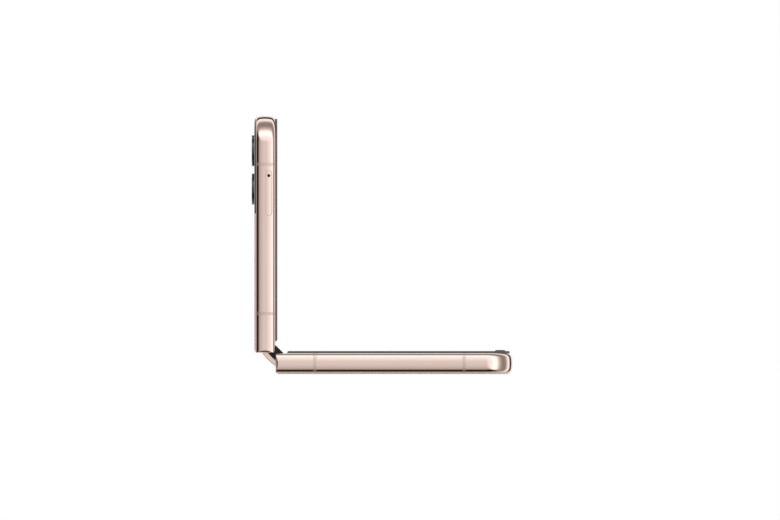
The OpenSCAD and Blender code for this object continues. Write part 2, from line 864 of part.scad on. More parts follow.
module end_caps() {
    color(black) spine_frame() both_sides()
        along_spine(spine_w / 2 - cap_l, spine_w / 2) {
            spine_section(spine_wall + seam, spine_rib_t + seam);
            translate([-cap_half_w, spine_top - 0.5])
                square([2 * cap_half_w, cap_top - spine_top + 0.5]);
        }
}

// Room for a sliding arc in the base, on the +X side
module arc_slot(y) {
    along_spine(y - arc_w / 2 - run_gap, y + arc_w / 2 + run_gap)
        intersection() {
            difference() {
                translate([axis_x, 0]) circle(arc_r1 + run_gap);
                translate([axis_x, 0]) circle(arc_r0 - run_gap);
            }
            translate([axis_x - 0.9, -pocket_r]) square([pocket_r, 2 * pocket_r]);
        }
}

module hinge_base() {
    gear_bay = gear_w / 2 + run_gap;
    gear_low = gear_z + tip_r + gear_gap;
    spring_room = spring_r + gear_gap;
    bay_half_w = gear_x + pocket_r - spine_gap;
    difference() {
        along_spine(module_y - module_l, module_y) {
            spine_section(spine_wall + seam, spine_wall + seam);
            translate([-floor_rib_w / 2, spine_top - floor_t])
                square([floor_rib_w, floor_z - spine_top + floor_t]);
        }
        arc_slot(module_y - slot_1);
        mirror([1, 0, 0]) arc_slot(module_y - slot_2);
        along_spine(module_y - gear_y - gear_bay, module_y - gear_y + gear_bay)
            translate([-bay_half_w, -gear_low]) square([2 * bay_half_w, 2 * gear_low]);
        along_spine(module_y - module_l - cut, module_y - spring_y)
            translate([-gear_x - spring_room, -gear_z - spring_room])
                square([2 * (gear_x + spring_room), 2 * spring_room + spine_depth]);
        for (x = shaft_row())
            along_spine(module_y - spring_y - cut, module_y - shaft_y)
                translate([x, -gear_z]) circle(r = shaft_d / 2 + shaft_fit);
    }
}

function shaft_row() = [for (k = [-3 : 2 : 3]) k * gear_x / 3];

module hinge_bases() { color(steel) spine_frame() both_sides() hinge_base(); }

module gear_shafts() {
    color(steel) spine_frame() both_sides()
        for (x = shaft_row())
            along_spine(module_y - module_l + play, module_y - shaft_y)
                translate([x, -gear_z]) circle(d = shaft_d);
}

module hinge_springs() {
    color(steel) spine_frame() both_sides()
        for (x = shaft_row())
            along_spine(module_y - module_l + play, module_y - spring_y - shaft_fit)
                translate([x, -gear_z]) difference() {
                    circle(r = spring_r);
                    circle(r = shaft_d / 2 + run_gap);
                }
}

module spine_floor() {
    color(steel) spine_frame()
        along_spine(-module_y, module_y)
            translate([-floor_half_w, floor_z]) square([2 * floor_half_w, floor_t]);
}

// Gear section with a tooth at angle a
module gear_section(a) {
    pitch = 360 / teeth;
    half = pitch * tooth_fill / 2;
    difference() {
        union() {
            circle(root_r);
            for (k = [0 : teeth - 1]) rotate(a + k * pitch)
                polygon([
                    (root_r - 0.1) * [cos(half * 1.5), -sin(half * 1.5)],
                    pitch_r * [cos(half), -sin(half)],
                    tip_r * [cos(half * 0.45), -sin(half * 0.45)],
                    tip_r * [cos(half * 0.45), sin(half * 0.45)],
                    pitch_r * [cos(half), sin(half)],
                    (root_r - 0.1) * [cos(half * 1.5), sin(half * 1.5)]
                ]);
        }
        circle(r = shaft_d / 2 + shaft_gap);
    }
}

module gear(x, a) {
    along_spine(module_y - gear_y - gear_w / 2, module_y - gear_y + gear_w / 2)
        translate([x, -gear_z]) gear_section(a);
}

// Synchronising arm on the +X side: gear with a cranked plate, lying at the
// half's rest angle
module sync_arm(a) {
    gear(gear_x, a);
    along_spine(module_y - gear_y - gear_w / 2, module_y - gear_y + gear_w / 2)
        translate([gear_x, -gear_z]) rotate(rest_turn) difference() {
            union() {
                translate([0.6, sync_rise]) square([sync_reach - 0.6, sync_t]);
                translate([0.3, 0]) square([0.85, sync_rise + sync_t]);
            }
            circle(r = root_r - 0.05);
        }
}

module lower_sync_arms() { color(steel) spine_frame() both_sides() sync_arm(180); }

module upper_sync_arms() {
    color(steel) spine_frame() both_sides() mirror([1, 0, 0]) sync_arm(180 + 180 / teeth);
}

module lower_idlers() {
    color(steel) spine_frame() both_sides() gear(gear_x / 3, 180 / teeth);
}

module upper_idlers() {
    color(steel) spine_frame() both_sides() gear(-gear_x / 3, 0);
}

// Sliding arc and its arm, in the half's own frame
module rotator(y) {
    translate([0, y + arc_w / 2, 0]) rotate([90, 0, 0]) linear_extrude(arc_w) {
        difference() {
            translate([axis_in, axis_n]) difference() {
                circle(arc_r1);
                circle(arc_r0);
            }
            translate([axis_in - 3 * arc_r1, axis_n - 3 * arc_r1])
                square([3 * arc_r1 - arc_r1 * sin(arc_sweep - 90), 6 * arc_r1]);
            translate([axis_in - 3 * arc_r1, arm_n + arm_t]) square(6 * arc_r1);
        }
        difference() {
            translate([axis_in + arc_r0 + 0.02, arm_n])
                square([arm_reach - axis_in - arc_r0 - 0.02, arm_t]);
            translate([axis_in, axis_n]) circle(arc_r0);
        }
    }
}

module rotators(slot) {
    both_sides() difference() {
        rotator(module_y - slot);
        translate([arm_reach - arm_screw_in, module_y - slot, arm_n - cut])
            cylinder(d = screw_d + run_gap, h = arm_t + 2 * cut);
    }
}

module lower_rotators() { color(steel) lower_half() rotators(slot_1); }

module upper_rotators() { color(steel) upper_half() rotators(slot_2); }

// Section of the bent screen on the lower side of the spine, in the spine's frame.
// Flat, it is a straight strip; each point is turned back by its share of the bend.
function smooth(t) = t * t * (3 - 2 * t);
function bend_row(h, top, count) =
    let (
        x0 = screen_stiff - axis_in,
        x1 = -axis_x * cos(rest_turn) + top * sin(rest_turn)
    ) [
        for (k = [0 : count])
            let (
                t = k / count,
                a = rest_turn * smooth(t),
                p = x0 - t * (x0 - x1),
                x = (p - h * sin(a)) / cos(a),
                back = rest_turn - a
            ) [axis_x + x * cos(back) - h * sin(back), x * sin(back) + h * cos(back)]
    ];

module half_bend() {
    top = axis_depth;
    low = axis_depth - screen_t;
    upper = bend_row(top, top, 16);
    under = bend_row(low, top, 16);
    polygon(concat(
        upper,
        [[0, top], [0, low]],
        [for (k = [16 : -1 : 0]) under[k]]
    ));
}

module display_fold() {
    w = body_w - 2 * screen_inset;
    color(black) spine_frame()
        along_spine(-w / 2, w / 2) {
            half_bend();
            mirror([1, 0]) half_bend();
        }
}

// ---- upper half

module punch(d) {
    translate([half_len - punch_in, 0, mid_n - cut])
        cylinder(d = d, h = half_t - mid_n + 2 * cut);
}

module ear_cut(g) {
    translate([half_len - bezel_inset - 0.7 - ear_slit_w - g, -ear_slit_l / 2 - g, mid_n - cut])
        cube([ear_slit_w + 2 * g, ear_slit_l + 2 * g, bezel_top]);
}

module upper_frame() {
    color(gold) upper_half() difference() {
        shell(upper_post_y);
        band_boxes();
        punch(punch_d + 1.2);
        ear_cut(0);
        side_slot(tray_s, tray_n, tray_l, tray_w, -body_w / 2 - cut, cut - cavity_w / 2);
        side_slot(rocker_s, key_n, rocker_l, key_w, cavity_w / 2 - cut, body_w / 2 + cut);
        side_slot(power_s, key_n, power_l, key_w, cavity_w / 2 - cut, body_w / 2 + cut);
        translate([cavity_end - cut, -mic_y, key_n])
            rotate([0, 90, 0]) cylinder(d = mic_d, h = rail_t + 2 * cut);
    }
}

module upper_bands() { color(pink_glass) upper_half() bands(); }

module upper_back_glass() {
    color(pink_glass) upper_half()
        outer_glass(glass_hinge_gap + seam, cover_s - seam);
}

module cover_glass() {
    color(black) upper_half() difference() {
        outer_glass(cover_s, half_len + cut);
        for (s = ring_s) translate([s, ring_y, -cut])
            cylinder(d = ring_neck_d + 2 * seam, h = glass_t + 2 * cut);
        translate([flash_s(), ring_y - flash_side, -cut])
            cylinder(d = flash_d + 2 * seam, h = glass_t + 2 * cut);
    }
}

function flash_s() = (ring_s[0] + ring_s[1]) / 2;

module cover_display() {
    y1 = ring_y - flash_side - flash_d / 2 - 1;
    y0 = play + ledge_w - body_w / 2;
    color(soft_black) upper_half()
        translate([cover_s + cover_margin, y0, glass_t])
            cube([cover_len - corner_r - 2 * cover_margin, y1 - y0, panel_t]);
}

module camera_ring(s) {
    bore = barrel_d + 0.2;
    color(black) upper_half() translate([s, ring_y, 0]) difference() {
        union() {
            translate([0, 0, -ring_h]) cylinder(d = ring_d, h = ring_h);
            translate([0, 0, -seam]) cylinder(d = ring_neck_d, h = glass_t + seam + 0.5);
            translate([0, 0, glass_t]) cylinder(d = ring_d, h = 0.5);
        }
        translate([0, 0, -ring_h - cut]) cylinder(d = bore, h = 3 * ring_h + 3 * cut);
        translate([0, 0, -ring_h - cut])
            cylinder(d = lens_d + 0.1, h = cut + lens_drop + lens_t);
    }
}

module camera_ring_outer() { camera_ring(ring_s[0]); }

module camera_ring_inner() { camera_ring(ring_s[1]); }

module lens_glasses() {
    color(black) upper_half() for (s = ring_s)
        translate([s, ring_y, lens_drop - ring_h]) cylinder(d = lens_d, h = lens_t);
}

module cameras() {
    color(soft_black) upper_half() for (s = ring_s) translate([s, ring_y, 0]) {
        top = glass_t + 0.5;
        translate([0, 0, lens_drop + lens_t - ring_h + 0.05])
            cylinder(d = barrel_d, h = ring_h + 1.4);
        translate([-camera_base / 2, -camera_base / 2, top])
            cube([camera_base, camera_base, mid_n - top]);
    }
}

module flash_lens() {
    color("ivory") upper_half() translate([flash_s(), ring_y - flash_side, 0]) {
        cylinder(d = flash_d, h = glass_t);
        translate([0, 0, glass_t]) cylinder(d = flash_d + 0.8, h = 0.6);
    }
}

module upper_bezel() {
    color(soft_black) upper_half() difference() {
        bezel(bezel_lap);
        ear_cut(0);
    }
}

module display_upper() {
    color(black) upper_half() difference() {
        screen_plate(screen_n, half_t);
        punch(punch_d);
    }
}

module upper_backer() {
    color(steel) upper_half() difference() {
        screen_plate(backer_n, screen_n);
        punch(punch_d + 1.2);
    }
}

module front_camera() {
    color(black) upper_half() translate([half_len - punch_in, 0, 0]) {
        translate([0, 0, mid_n - 0.2]) cylinder(d = punch_d + 1, h = screen_n - mid_n + 0.2);
        translate([0, 0, screen_n - 0.02]) cylinder(d = punch_d - 0.1, h = screen_t - 0.03);
        translate([-selfie_base / 2, -selfie_base / 2, mid_n - selfie_t])
            cube([selfie_base, selfie_base, selfie_t]);
    }
}

module earpiece() {
    color(soft_black) upper_half()
        translate([cavity_end - seam - ear_l, -ear_slit_l / 2, mid_n - ear_t])
            cube([ear_l, ear_slit_l, ear_t]);
}

module main_board() {
    color(board_green) upper_half() board_blank(camera_edge, upper_post_y);
}

module board_shields() {
    color(steel) upper_half() {
        translate([board_s + shield_in, -radio_shield_w - chip_shield_w / 2 - slot_wall, board_n - shield_t])
            cube([radio_shield_l, radio_shield_w, shield_t]);
        translate([board_s + shield_in, -chip_shield_w / 2, board_n - shield_t])
            cube([chip_shield_l, chip_shield_w, shield_t]);
    }
}

module upper_battery() { color(soft_black) upper_half() battery(); }

// Cage round the tray
module card_socket() {
    wall = socket_wall;
    n0 = board_n + board_t;
    inner_l = tray_l - 2 * tray_neck + 2 * run_gap;
    color(steel) upper_half() difference() {
        translate([tray_s - inner_l / 2 - wall, play - cavity_w / 2, n0])
            cube([inner_l + 2 * wall, tray_depth + 2 * run_gap, tray_n + tray_t / 2 + play - n0]);
        translate([tray_s - inner_l / 2, play - cavity_w / 2 - cut, tray_n - tray_t / 2 - run_gap])
            cube([inner_l, tray_depth + cut, tray_t + 2 * run_gap]);
    }
}

module sim_tray() {
    face_l = tray_l - 2 * tray_gap;
    face_w = tray_w - 2 * tray_gap;
    body_l = tray_l - 2 * tray_neck;
    color(gold) upper_half() difference() {
        union() {
            intersection() {
                side_slot(tray_s, tray_n, face_l, face_w, -body_w / 2, rail_t - body_w / 2);
                translate([tray_s - tray_l, -body_w / 2, 0]) edge_run(2 * tray_l);
            }
            translate([tray_s - body_l / 2, rail_t - body_w / 2 - 0.01, tray_n - tray_t / 2])
                cube([body_l, tray_depth - rail_t, tray_t]);
        }
        translate([tray_s + face_l / 2 - eject_in, -body_w / 2 - cut, tray_n])
            rotate([-90, 0, 0]) cylinder(d = eject_d, h = rail_t + cut - 0.2);
        translate([tray_s - card_l / 2 - run_gap, card_y() - run_gap, tray_n - run_gap])
            cube([card_l + 2 * run_gap, card_d + 2 * run_gap, tray_t]);
    }
}

function card_y() = card_in - body_w / 2;

module sim_card() {
    color("gainsboro") upper_half()
        translate([tray_s - card_l / 2, card_y(), tray_n - run_gap])
            cube([card_l, card_d, card_t]);
}

// Key at s with its flange from y0, proud of the side face
module key(s, l, y0, proud) {
    face_l = l - 2 * key_gap;
    face_w = key_w - 2 * key_gap;
    side_slot(s, key_n, face_l, face_w, y0, body_w / 2 + proud);
    side_slot(s, key_n, face_l + 2 * key_flange, face_w + 2 * key_flange, y0, y0 + key_flange_t);
}

module volume_rocker() {
    color(gold) upper_half() {
        key(rocker_s, rocker_l, rocker_y, key_proud);
        translate([rocker_s, rocker_y, key_n - key_w / 2])
            cylinder(r = key_pivot_r, h = key_w);
    }
}

module power_key() {
    stem = power_y - flex_y - flex_t - key_travel - seam;
    color(gold) upper_half() {
        key(power_s, power_l, power_y, key_travel + seam);
        translate([power_s, power_y - stem, key_n])
            rotate([-90, 0, 0]) cylinder(d = key_w, h = stem + seam);
    }
}

module key_flex() {
    s0 = power_s - power_l / 2;
    color(copper) upper_half()
        translate([s0, flex_y, key_n - key_w / 2])
            cube([rocker_s + rocker_l / 2 - s0, flex_t, key_w]);
}

module upper_magnets() { color(steel) upper_half() magnets(); }

module upper_screws() { color(steel) upper_half() half_screws(upper_post_y); }

lower_frame();
lower_bands();
lower_back_glass();
lower_bezel();
lower_bumpers();
display_lower();
lower_backer();
lower_battery();
sub_board();
sub_board_shield();
usb_shell();
usb_tongue();
loudspeaker();
vibration_motor();
charging_coil();
lower_magnets();
lower_rotators();
lower_screws();
spine_cover();
end_caps();
hinge_bases();
gear_shafts();
hinge_springs();
spine_floor();
display_fold();
lower_sync_arms();
upper_sync_arms();
lower_idlers();
upper_idlers();
upper_frame();
upper_bands();
upper_back_glass();
cover_glass();
cover_display();
camera_ring_outer();
camera_ring_inner();
lens_glasses();
cameras();
flash_lens();
upper_bezel();
display_upper();
upper_backer();
front_camera();
earpiece();
main_board();
board_shields();
upper_battery();
card_socket();
key_flex();
upper_magnets();
upper_rotators();
upper_screws();
sim_tray();
sim_card();
volume_rocker();
power_key();
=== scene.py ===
"""A foldable phone, opened to a right angle, dressed for its portrait.

Each half is described in its own frame, in millimetres: s runs from the hinge end
to the free end, y across the phone, and n from the outer glass to the inner rim.
The lower half lies along +X with n upwards. The upper half stands along +Z with n
towards +X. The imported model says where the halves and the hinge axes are.
"""
import json
import logging
import math
from contextlib import contextmanager
from dataclasses import dataclass
from enum import Enum
from functools import cache
from typing import Callable, ClassVar, Iterator, Optional, Sequence

import bmesh
import bpy
import numpy as np
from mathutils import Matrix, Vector


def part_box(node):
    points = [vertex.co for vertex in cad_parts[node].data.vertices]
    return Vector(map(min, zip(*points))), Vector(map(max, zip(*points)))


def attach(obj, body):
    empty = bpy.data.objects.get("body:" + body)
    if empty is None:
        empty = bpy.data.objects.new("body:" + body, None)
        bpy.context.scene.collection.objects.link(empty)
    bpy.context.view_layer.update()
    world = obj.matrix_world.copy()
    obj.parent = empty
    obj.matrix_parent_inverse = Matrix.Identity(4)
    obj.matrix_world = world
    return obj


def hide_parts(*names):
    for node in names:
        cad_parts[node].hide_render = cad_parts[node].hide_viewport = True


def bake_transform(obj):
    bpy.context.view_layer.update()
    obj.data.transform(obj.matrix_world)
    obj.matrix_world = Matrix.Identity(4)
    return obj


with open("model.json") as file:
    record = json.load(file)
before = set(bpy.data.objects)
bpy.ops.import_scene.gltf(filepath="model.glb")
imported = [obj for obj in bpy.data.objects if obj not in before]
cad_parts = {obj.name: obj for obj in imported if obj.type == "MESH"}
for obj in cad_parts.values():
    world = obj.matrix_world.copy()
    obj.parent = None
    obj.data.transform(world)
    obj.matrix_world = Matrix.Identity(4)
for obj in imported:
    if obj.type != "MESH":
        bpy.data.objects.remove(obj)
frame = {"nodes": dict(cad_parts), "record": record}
log = logging.getLogger("phone")

# A millimetre, and the distance within which two points are one, in metres.
MM = 0.001
NEAR = 1e-6
# Signs of a square's corners, in order.
SQUARE = ((-1, -1), (1, -1), (1, 1), (-1, 1))
Pair = tuple[float, float]
Colour = tuple[float, float, float]
Skin = tuple[list, list]
Socket = bpy.types.NodeSocket


# ---- sizes and places

@dataclass(frozen=True)
class Rim:
    """Sizes of a half's outline and of the section of its metal rim."""

    length: float = 82.6
    width: float = 71.9
    thickness: float = 7.4
    corner: float = 9.6
    hinge_corner: float = 1.1
    outer_edge: float = 2.1
    inner_edge: float = 1.9
    end_outer: float = 1.2
    end_inner: float = 1.2
    crown: float = 12.0

    def edge_centre(self, r: float) -> Pair:
        """Centre of an edge's rounding: its depth from the side face and its height."""
        reach = math.sqrt((self.crown - r) ** 2 - (self.thickness / 2 - r) ** 2)
        return self.crown - reach, r

    def crown_angle(self, r: float) -> float:
        """Tilt of the side face where the rounding of radius r begins."""
        depth, height = self.edge_centre(r)
        return math.atan2(self.thickness / 2 - height, self.crown - depth)

    def outline(self, start: float, steps: int) -> list[tuple[Pair, Pair]]:
        """Stations round the three outer sides, from the -y side to the +y side.

        Args:
            start: Distance of both ends from the hinge end.
            steps: Pieces of each free corner.

        Returns:
            Pairs of a point (s, y) on the outline and its outward direction.
        """
        side, end = self.width / 2, self.length - self.corner
        turn = [math.pi / 2 * k / steps for k in range(steps + 1)]
        near = [
            ((end + self.corner * math.sin(a), self.corner - side - self.corner * math.cos(a)),
             (math.sin(a), -math.cos(a)))
            for a in turn
        ]
        far = [((s, -y), (a, -b)) for (s, y), (a, b) in reversed(near)]
        return [((start, -side), (0.0, -1.0))] + near + far + [((start, side), (0.0, 1.0))]


class Half(Enum):
    """The two halves of the phone, by the name of their bodies."""

    LOWER = "lower"
    UPPER = "upper"


@dataclass(frozen=True)
class Seat:
    """Place of a half's own frame in the world."""

    half: Half
    rim: Rim

    @property
    def origin(self) -> np.ndarray:
        """World place of s = 0, y = 0, n = 0, in metres."""
        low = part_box(f"{self.half.value}_frame")[0]
        return np.array([low.x, 0.0, low.z])

    @property
    def axes(self) -> np.ndarray:
        """World directions of s, y and n, one in each row."""
        if self.half is Half.LOWER:
            return np.eye(3)
        return np.array([[0.0, 0.0, 1.0], [0.0, 1.0, 0.0], [1.0, 0.0, 0.0]])

    @property
    def mirrored(self) -> bool:
        """Whether the half's frame is left-handed in the world."""
        return self.half is Half.UPPER

    def world(self, points: Sequence[Sequence[float]]) -> np.ndarray:
        """World places, in metres, of points (s, y, n) in millimetres."""
        return np.asarray(points, float) @ self.axes * MM + self.origin

    def local(self, points: np.ndarray) -> np.ndarray:
        """Points (s, y, n) in millimetres of world places in metres."""
        return (points - self.origin) @ self.axes.T / MM


def joint_place(name: str) -> Pair:
    """World x and z, in millimetres, of a hinge's axis."""
    place = next(j for j in frame["record"]["behaviour"]["joints"] if j["name"] == name)["pos_m"]
    return place[0] / MM, place[2] / MM


# ---- shader node groups

# Where most of a noise's values lie.
NOISE_SPAN = (0.35, 0.65)


class Nodes:
    """Shorthand for building a node tree."""

    def __init__(self, tree: bpy.types.NodeTree) -> None:
        """Keep the tree that the nodes go into."""
        self.tree = tree

    def add(self, kind: str, inputs: Optional[dict] = None, **settings: object) -> bpy.types.Node:
        """Add a node.

        Args:
            kind: The node's type name.
            inputs: Values or sockets for its inputs, by name or number.
            settings: Values of the node's own properties.

        Returns:
            The new node.
        """
        node = self.tree.nodes.new(kind)
        for key, value in settings.items():
            setattr(node, key, value)
        for key, value in (inputs or {}).items():
            if isinstance(value, Socket):
                self.tree.links.new(value, node.inputs[key])
            else:
                node.inputs[key].default_value = value
        return node

    def link(self, source: Socket, target: Socket) -> None:
        """Join two sockets."""
        self.tree.links.new(source, target)

    def math(self, operation: str, a: object, b: object = 0.0) -> Socket:
        """Result of a Math node on two values or sockets."""
        return self.add("ShaderNodeMath", {0: a, 1: b}, operation=operation).outputs[0]

    def xyz(self, x: object = 0.0, y: object = 0.0, z: object = 0.0) -> Socket:
        """Vector of three values or sockets."""
        return self.add("ShaderNodeCombineXYZ", {0: x, 1: y, 2: z}).outputs[0]

    def noise(self, scale: object, stretch: Optional[Socket] = None, **values: float) -> Socket:
        """Noise on the piece's own coordinates.

        Args:
            scale: Cells per metre.
            stretch: Factors on the coordinates.
            values: Further inputs of the noise, by name.

        Returns:
            The noise's value.
        """
        place = self.add("ShaderNodeTexCoord").outputs["Object"]
        if stretch:
            factors = {0: place, 1: stretch}
            place = self.add("ShaderNodeVectorMath", factors, operation="MULTIPLY").outputs[0]
        inputs = {"Vector": place, "Scale": scale, **values}
        return self.add("ShaderNodeTexNoise", inputs).outputs[0]


def shader_group(name: str, inputs: dict[str, float], *outputs: str) -> tuple[Nodes, dict]:
    """Start a shader node group with float sockets.

    Args:
        name: The group's name.
        inputs: Default value of each input.
        outputs: Names of the outputs.

    Returns:
        The group's nodes, and its input sockets and output node by name.
    """
    tree = bpy.data.node_groups.new(name, "ShaderNodeTree")
    for label, value in inputs.items():
        socket = tree.interface.new_socket(label, in_out="INPUT", socket_type="NodeSocketFloat")
        socket.default_value = value
    for label in outputs:
        tree.interface.new_socket(label, in_out="OUTPUT", socket_type="NodeSocketFloat")
    nodes = Nodes(tree)
    sockets = {s.name: s for s in nodes.add("NodeGroupInput").outputs if s.name}
    sockets["out"] = nodes.add("NodeGroupOutput")
    return nodes, sockets


@cache
def grain() -> bpy.types.NodeTree:
    """Fine even grain of a moulded or blasted surface, in cells per metre.

    Returns:
        The group, which puts out a height.
    """
    nodes, io = shader_group("Fine grain", {"Cells": 9000.0}, "Height")
    nodes.link(nodes.noise(io["Cells"], Detail=2.0), io["out"].inputs["Height"])
    return nodes.tree


@cache
def brushing() -> bpy.types.NodeTree:
    """Fine lines along the phone, as rolled or brushed metal has them.

    Returns:
        The group, which puts out a height.
    """
    nodes, io = shader_group("Brushing", {"Cells": 6000.0, "Stretch": 0.03}, "Height")
    lines = nodes.noise(io["Cells"], nodes.xyz(io["Stretch"], 1.0, 1.0), Detail=3.0)
    nodes.link(lines, io["out"].inputs["Height"])
    return nodes.tree


@cache
def handling() -> bpy.types.NodeTree:
    """Faint uneven film that handling leaves, as a value between two limits.

    Returns:
        The group, which puts out the value.
    """
    nodes, io = shader_group("Handling", {"Cells": 90.0, "Least": 0.1, "Most": 0.14}, "Value")
    broad = nodes.noise(io["Cells"], Detail=5.0, Roughness=0.6)
    low, high = NOISE_SPAN
    limits = {0: broad, 1: low, 2: high, 3: io["Least"], 4: io["Most"]}
    nodes.link(nodes.add("ShaderNodeMapRange", limits).outputs[0], io["out"].inputs["Value"])
    return nodes.tree


def effect(nodes: Nodes, group: bpy.types.NodeTree, **values: float) -> Socket:
    """Put a shared group into a material.

    Args:
        nodes: The material's nodes.
        group: The shared group.
        values: Its inputs, by lower-case name.

    Returns:
        The group's output.
    """
    node = nodes.add("ShaderNodeGroup", node_tree=group)
    for key, value in values.items():
        node.inputs[key.capitalize()].default_value = value
    return node.outputs[0]


# ---- finishes

@dataclass(frozen=True)
class Finish:
    """A finish: a plain surface with grain in its normal and film in its gloss."""

    SECOND_TONE: ClassVar[float] = 0.93
    RELIEF: ClassVar[float] = 0.00002

    name: str
    colour: Colour
    second: Optional[Colour] = None
    patch: float = 60.0
    rough: Pair = (0.3, 0.34)
    metallic: float = 0.0
    specular: float = 0.5
    coat: float = 0.0
    coat_rough: float = 0.05
    grain: float = 9000.0
    grain_depth: float = 0.1
    brushed: bool = False
    transmission: float = 0.0

    def pigment(self, nodes: Nodes) -> Socket:
        """Colour of the surface, between its two tones.

        Args:
            nodes: Nodes of the material.

        Returns:
            The colour.
        """
        second = self.second or tuple(c * self.SECOND_TONE for c in self.colour)
        mix = nodes.add("ShaderNodeMix", {
            0: effect(nodes, handling(), cells=self.patch, least=0.0, most=1.0),
            6: (*self.colour, 1.0), 7: (*second, 1.0),
        }, data_type="RGBA")
        return mix.outputs[2]

    def build(self) -> bpy.types.Material:
        """Make the material.

        Returns:
            The new material.
        """
        material = bpy.data.materials.new(self.name)
        material.use_nodes = True
        material.diffuse_color = (*self.colour, 1.0)
        nodes = Nodes(material.node_tree)
        shader = material.node_tree.nodes["Principled BSDF"]
        for label, value in (
            ("Metallic", self.metallic), ("Specular IOR Level", self.specular),
            ("Coat Weight", self.coat), ("Coat Roughness", self.coat_rough),
            ("Transmission Weight", self.transmission),
        ):
            shader.inputs[label].default_value = value
        nodes.link(self.pigment(nodes), shader.inputs["Base Color"])
        film = effect(nodes, handling(), least=self.rough[0], most=self.rough[1])
        nodes.link(film, shader.inputs["Roughness"])
        relief = effect(nodes, brushing() if self.brushed else grain(), cells=self.grain)
        bump = {"Strength": self.grain_depth, "Distance": self.RELIEF, "Height": relief}
        nodes.link(nodes.add("ShaderNodeBump", bump).outputs["Normal"], shader.inputs["Normal"])
        return material


class Palette:
    """The phone's finishes by material slot, each built when first asked for."""

    finishes: dict[str, Finish] = {
        "anodised_gold": Finish(
            "Pink gold anodised metal", (0.95, 0.77, 0.70), (0.935, 0.755, 0.685),
            rough=(0.09, 0.11), metallic=1.0, grain=14000.0, grain_depth=0.015,
        ),
        "band_plastic": Finish(
            "Antenna band plastic", (0.86, 0.68, 0.61), rough=(0.24, 0.3), grain=12000.0,
            grain_depth=0.03, metallic=0.8,
        ),
        "pink_glass": Finish(
            "Satin pink glass", (0.92, 0.75, 0.68), (0.905, 0.735, 0.665), rough=(0.3, 0.36),
            metallic=0.25, grain=16000.0, grain_depth=0.03, coat=0.5, coat_rough=0.22,
        ),
        "black_glass": Finish(
            "Black gloss glass", (0.004, 0.004, 0.005), (0.006, 0.006, 0.007),
            rough=(0.03, 0.05), grain=3000.0, grain_depth=0.002, specular=0.42,
        ),
        "bezel_plastic": Finish(
            "Soft bezel plastic", (0.15, 0.14, 0.138), rough=(0.42, 0.5), grain=11000.0,
            grain_depth=0.08,
        ),
        "black_plastic": Finish(
            "Black satin plastic", (0.006, 0.006, 0.006), rough=(0.34, 0.42), grain=10000.0,
            grain_depth=0.2, specular=0.3,
        ),
        "rubber": Finish(
            "Moulded rubber", (0.014, 0.014, 0.014), rough=(0.6, 0.7), grain=8000.0,
            grain_depth=0.4, specular=0.35,
        ),
        "dark_metal": Finish(
            "Black turned metal", (0.15, 0.15, 0.15), (0.13, 0.13, 0.13), rough=(0.16, 0.2),
            metallic=1.0, grain=12000.0, grain_depth=0.03,
        ),
        "battery_foil": Finish(
            "Battery wrap", (0.03, 0.03, 0.032), (0.05, 0.05, 0.052), rough=(0.35, 0.5),
            grain=2500.0, grain_depth=0.5, metallic=0.3,
        ),
        "circuit_board": Finish(
            "Solder mask", (0.012, 0.09, 0.06), (0.02, 0.13, 0.08), patch=400.0,
            rough=(0.25, 0.35), grain=5000.0, grain_depth=0.4, coat=0.3,
        ),
        "copper": Finish(
            "Lacquered copper", (0.75, 0.35, 0.18), rough=(0.2, 0.28), metallic=1.0,
            grain=7000.0, brushed=True,
        ),
        "steel": Finish(
            "Brushed steel", (0.55, 0.55, 0.56), rough=(0.22, 0.3), metallic=1.0,
            grain=7000.0, grain_depth=0.25, brushed=True,
        ),
        "flash_window": Finish(
            "Flash window", (0.90, 0.84, 0.62), (0.93, 0.89, 0.72), patch=1500.0,
            rough=(0.12, 0.2), coat=0.8, grain=4000.0,
        ),
        "card_plastic": Finish(
            "Card plastic", (0.82, 0.82, 0.80), rough=(0.4, 0.48), grain=9000.0, grain_depth=0.2
        ),
        "gold_contact": Finish(
            "Gold contact", (0.90, 0.66, 0.28), rough=(0.15, 0.22), metallic=1.0, grain=9000.0
        ),
        "lens_coating": Finish(
            "Coated lens", (0.012, 0.012, 0.03), (0.03, 0.012, 0.04), patch=700.0,
            rough=(0.02, 0.04), grain=3000.0, grain_depth=0.01, coat=1.0, specular=0.9,
        ),
        "lens_cover": Finish(
            "Lens cover glass", (0.9, 0.92, 0.94), (0.92, 0.94, 0.95), rough=(0.0, 0.01),
            grain=3000.0, grain_depth=0.0, transmission=1.0,
        ),
    }
    built: dict[str, bpy.types.Material] = {}

    @classmethod
    def get(cls, slot: str) -> bpy.types.Material:
        """Material of a slot."""
        if slot not in cls.built:
            cls.built[slot] = cls.finishes[slot].build()
        return cls.built[slot]


# ---- mesh helpers

def linked(name: str, data: bpy.types.ID) -> bpy.types.Object:
    """New object in the scene.

    Args:
        name: Its name.
        data: Its mesh or camera.

    Returns:
        The object, at the origin.
    """
    piece = bpy.data.objects.new(name, data)
    bpy.context.scene.collection.objects.link(piece)
    return piece


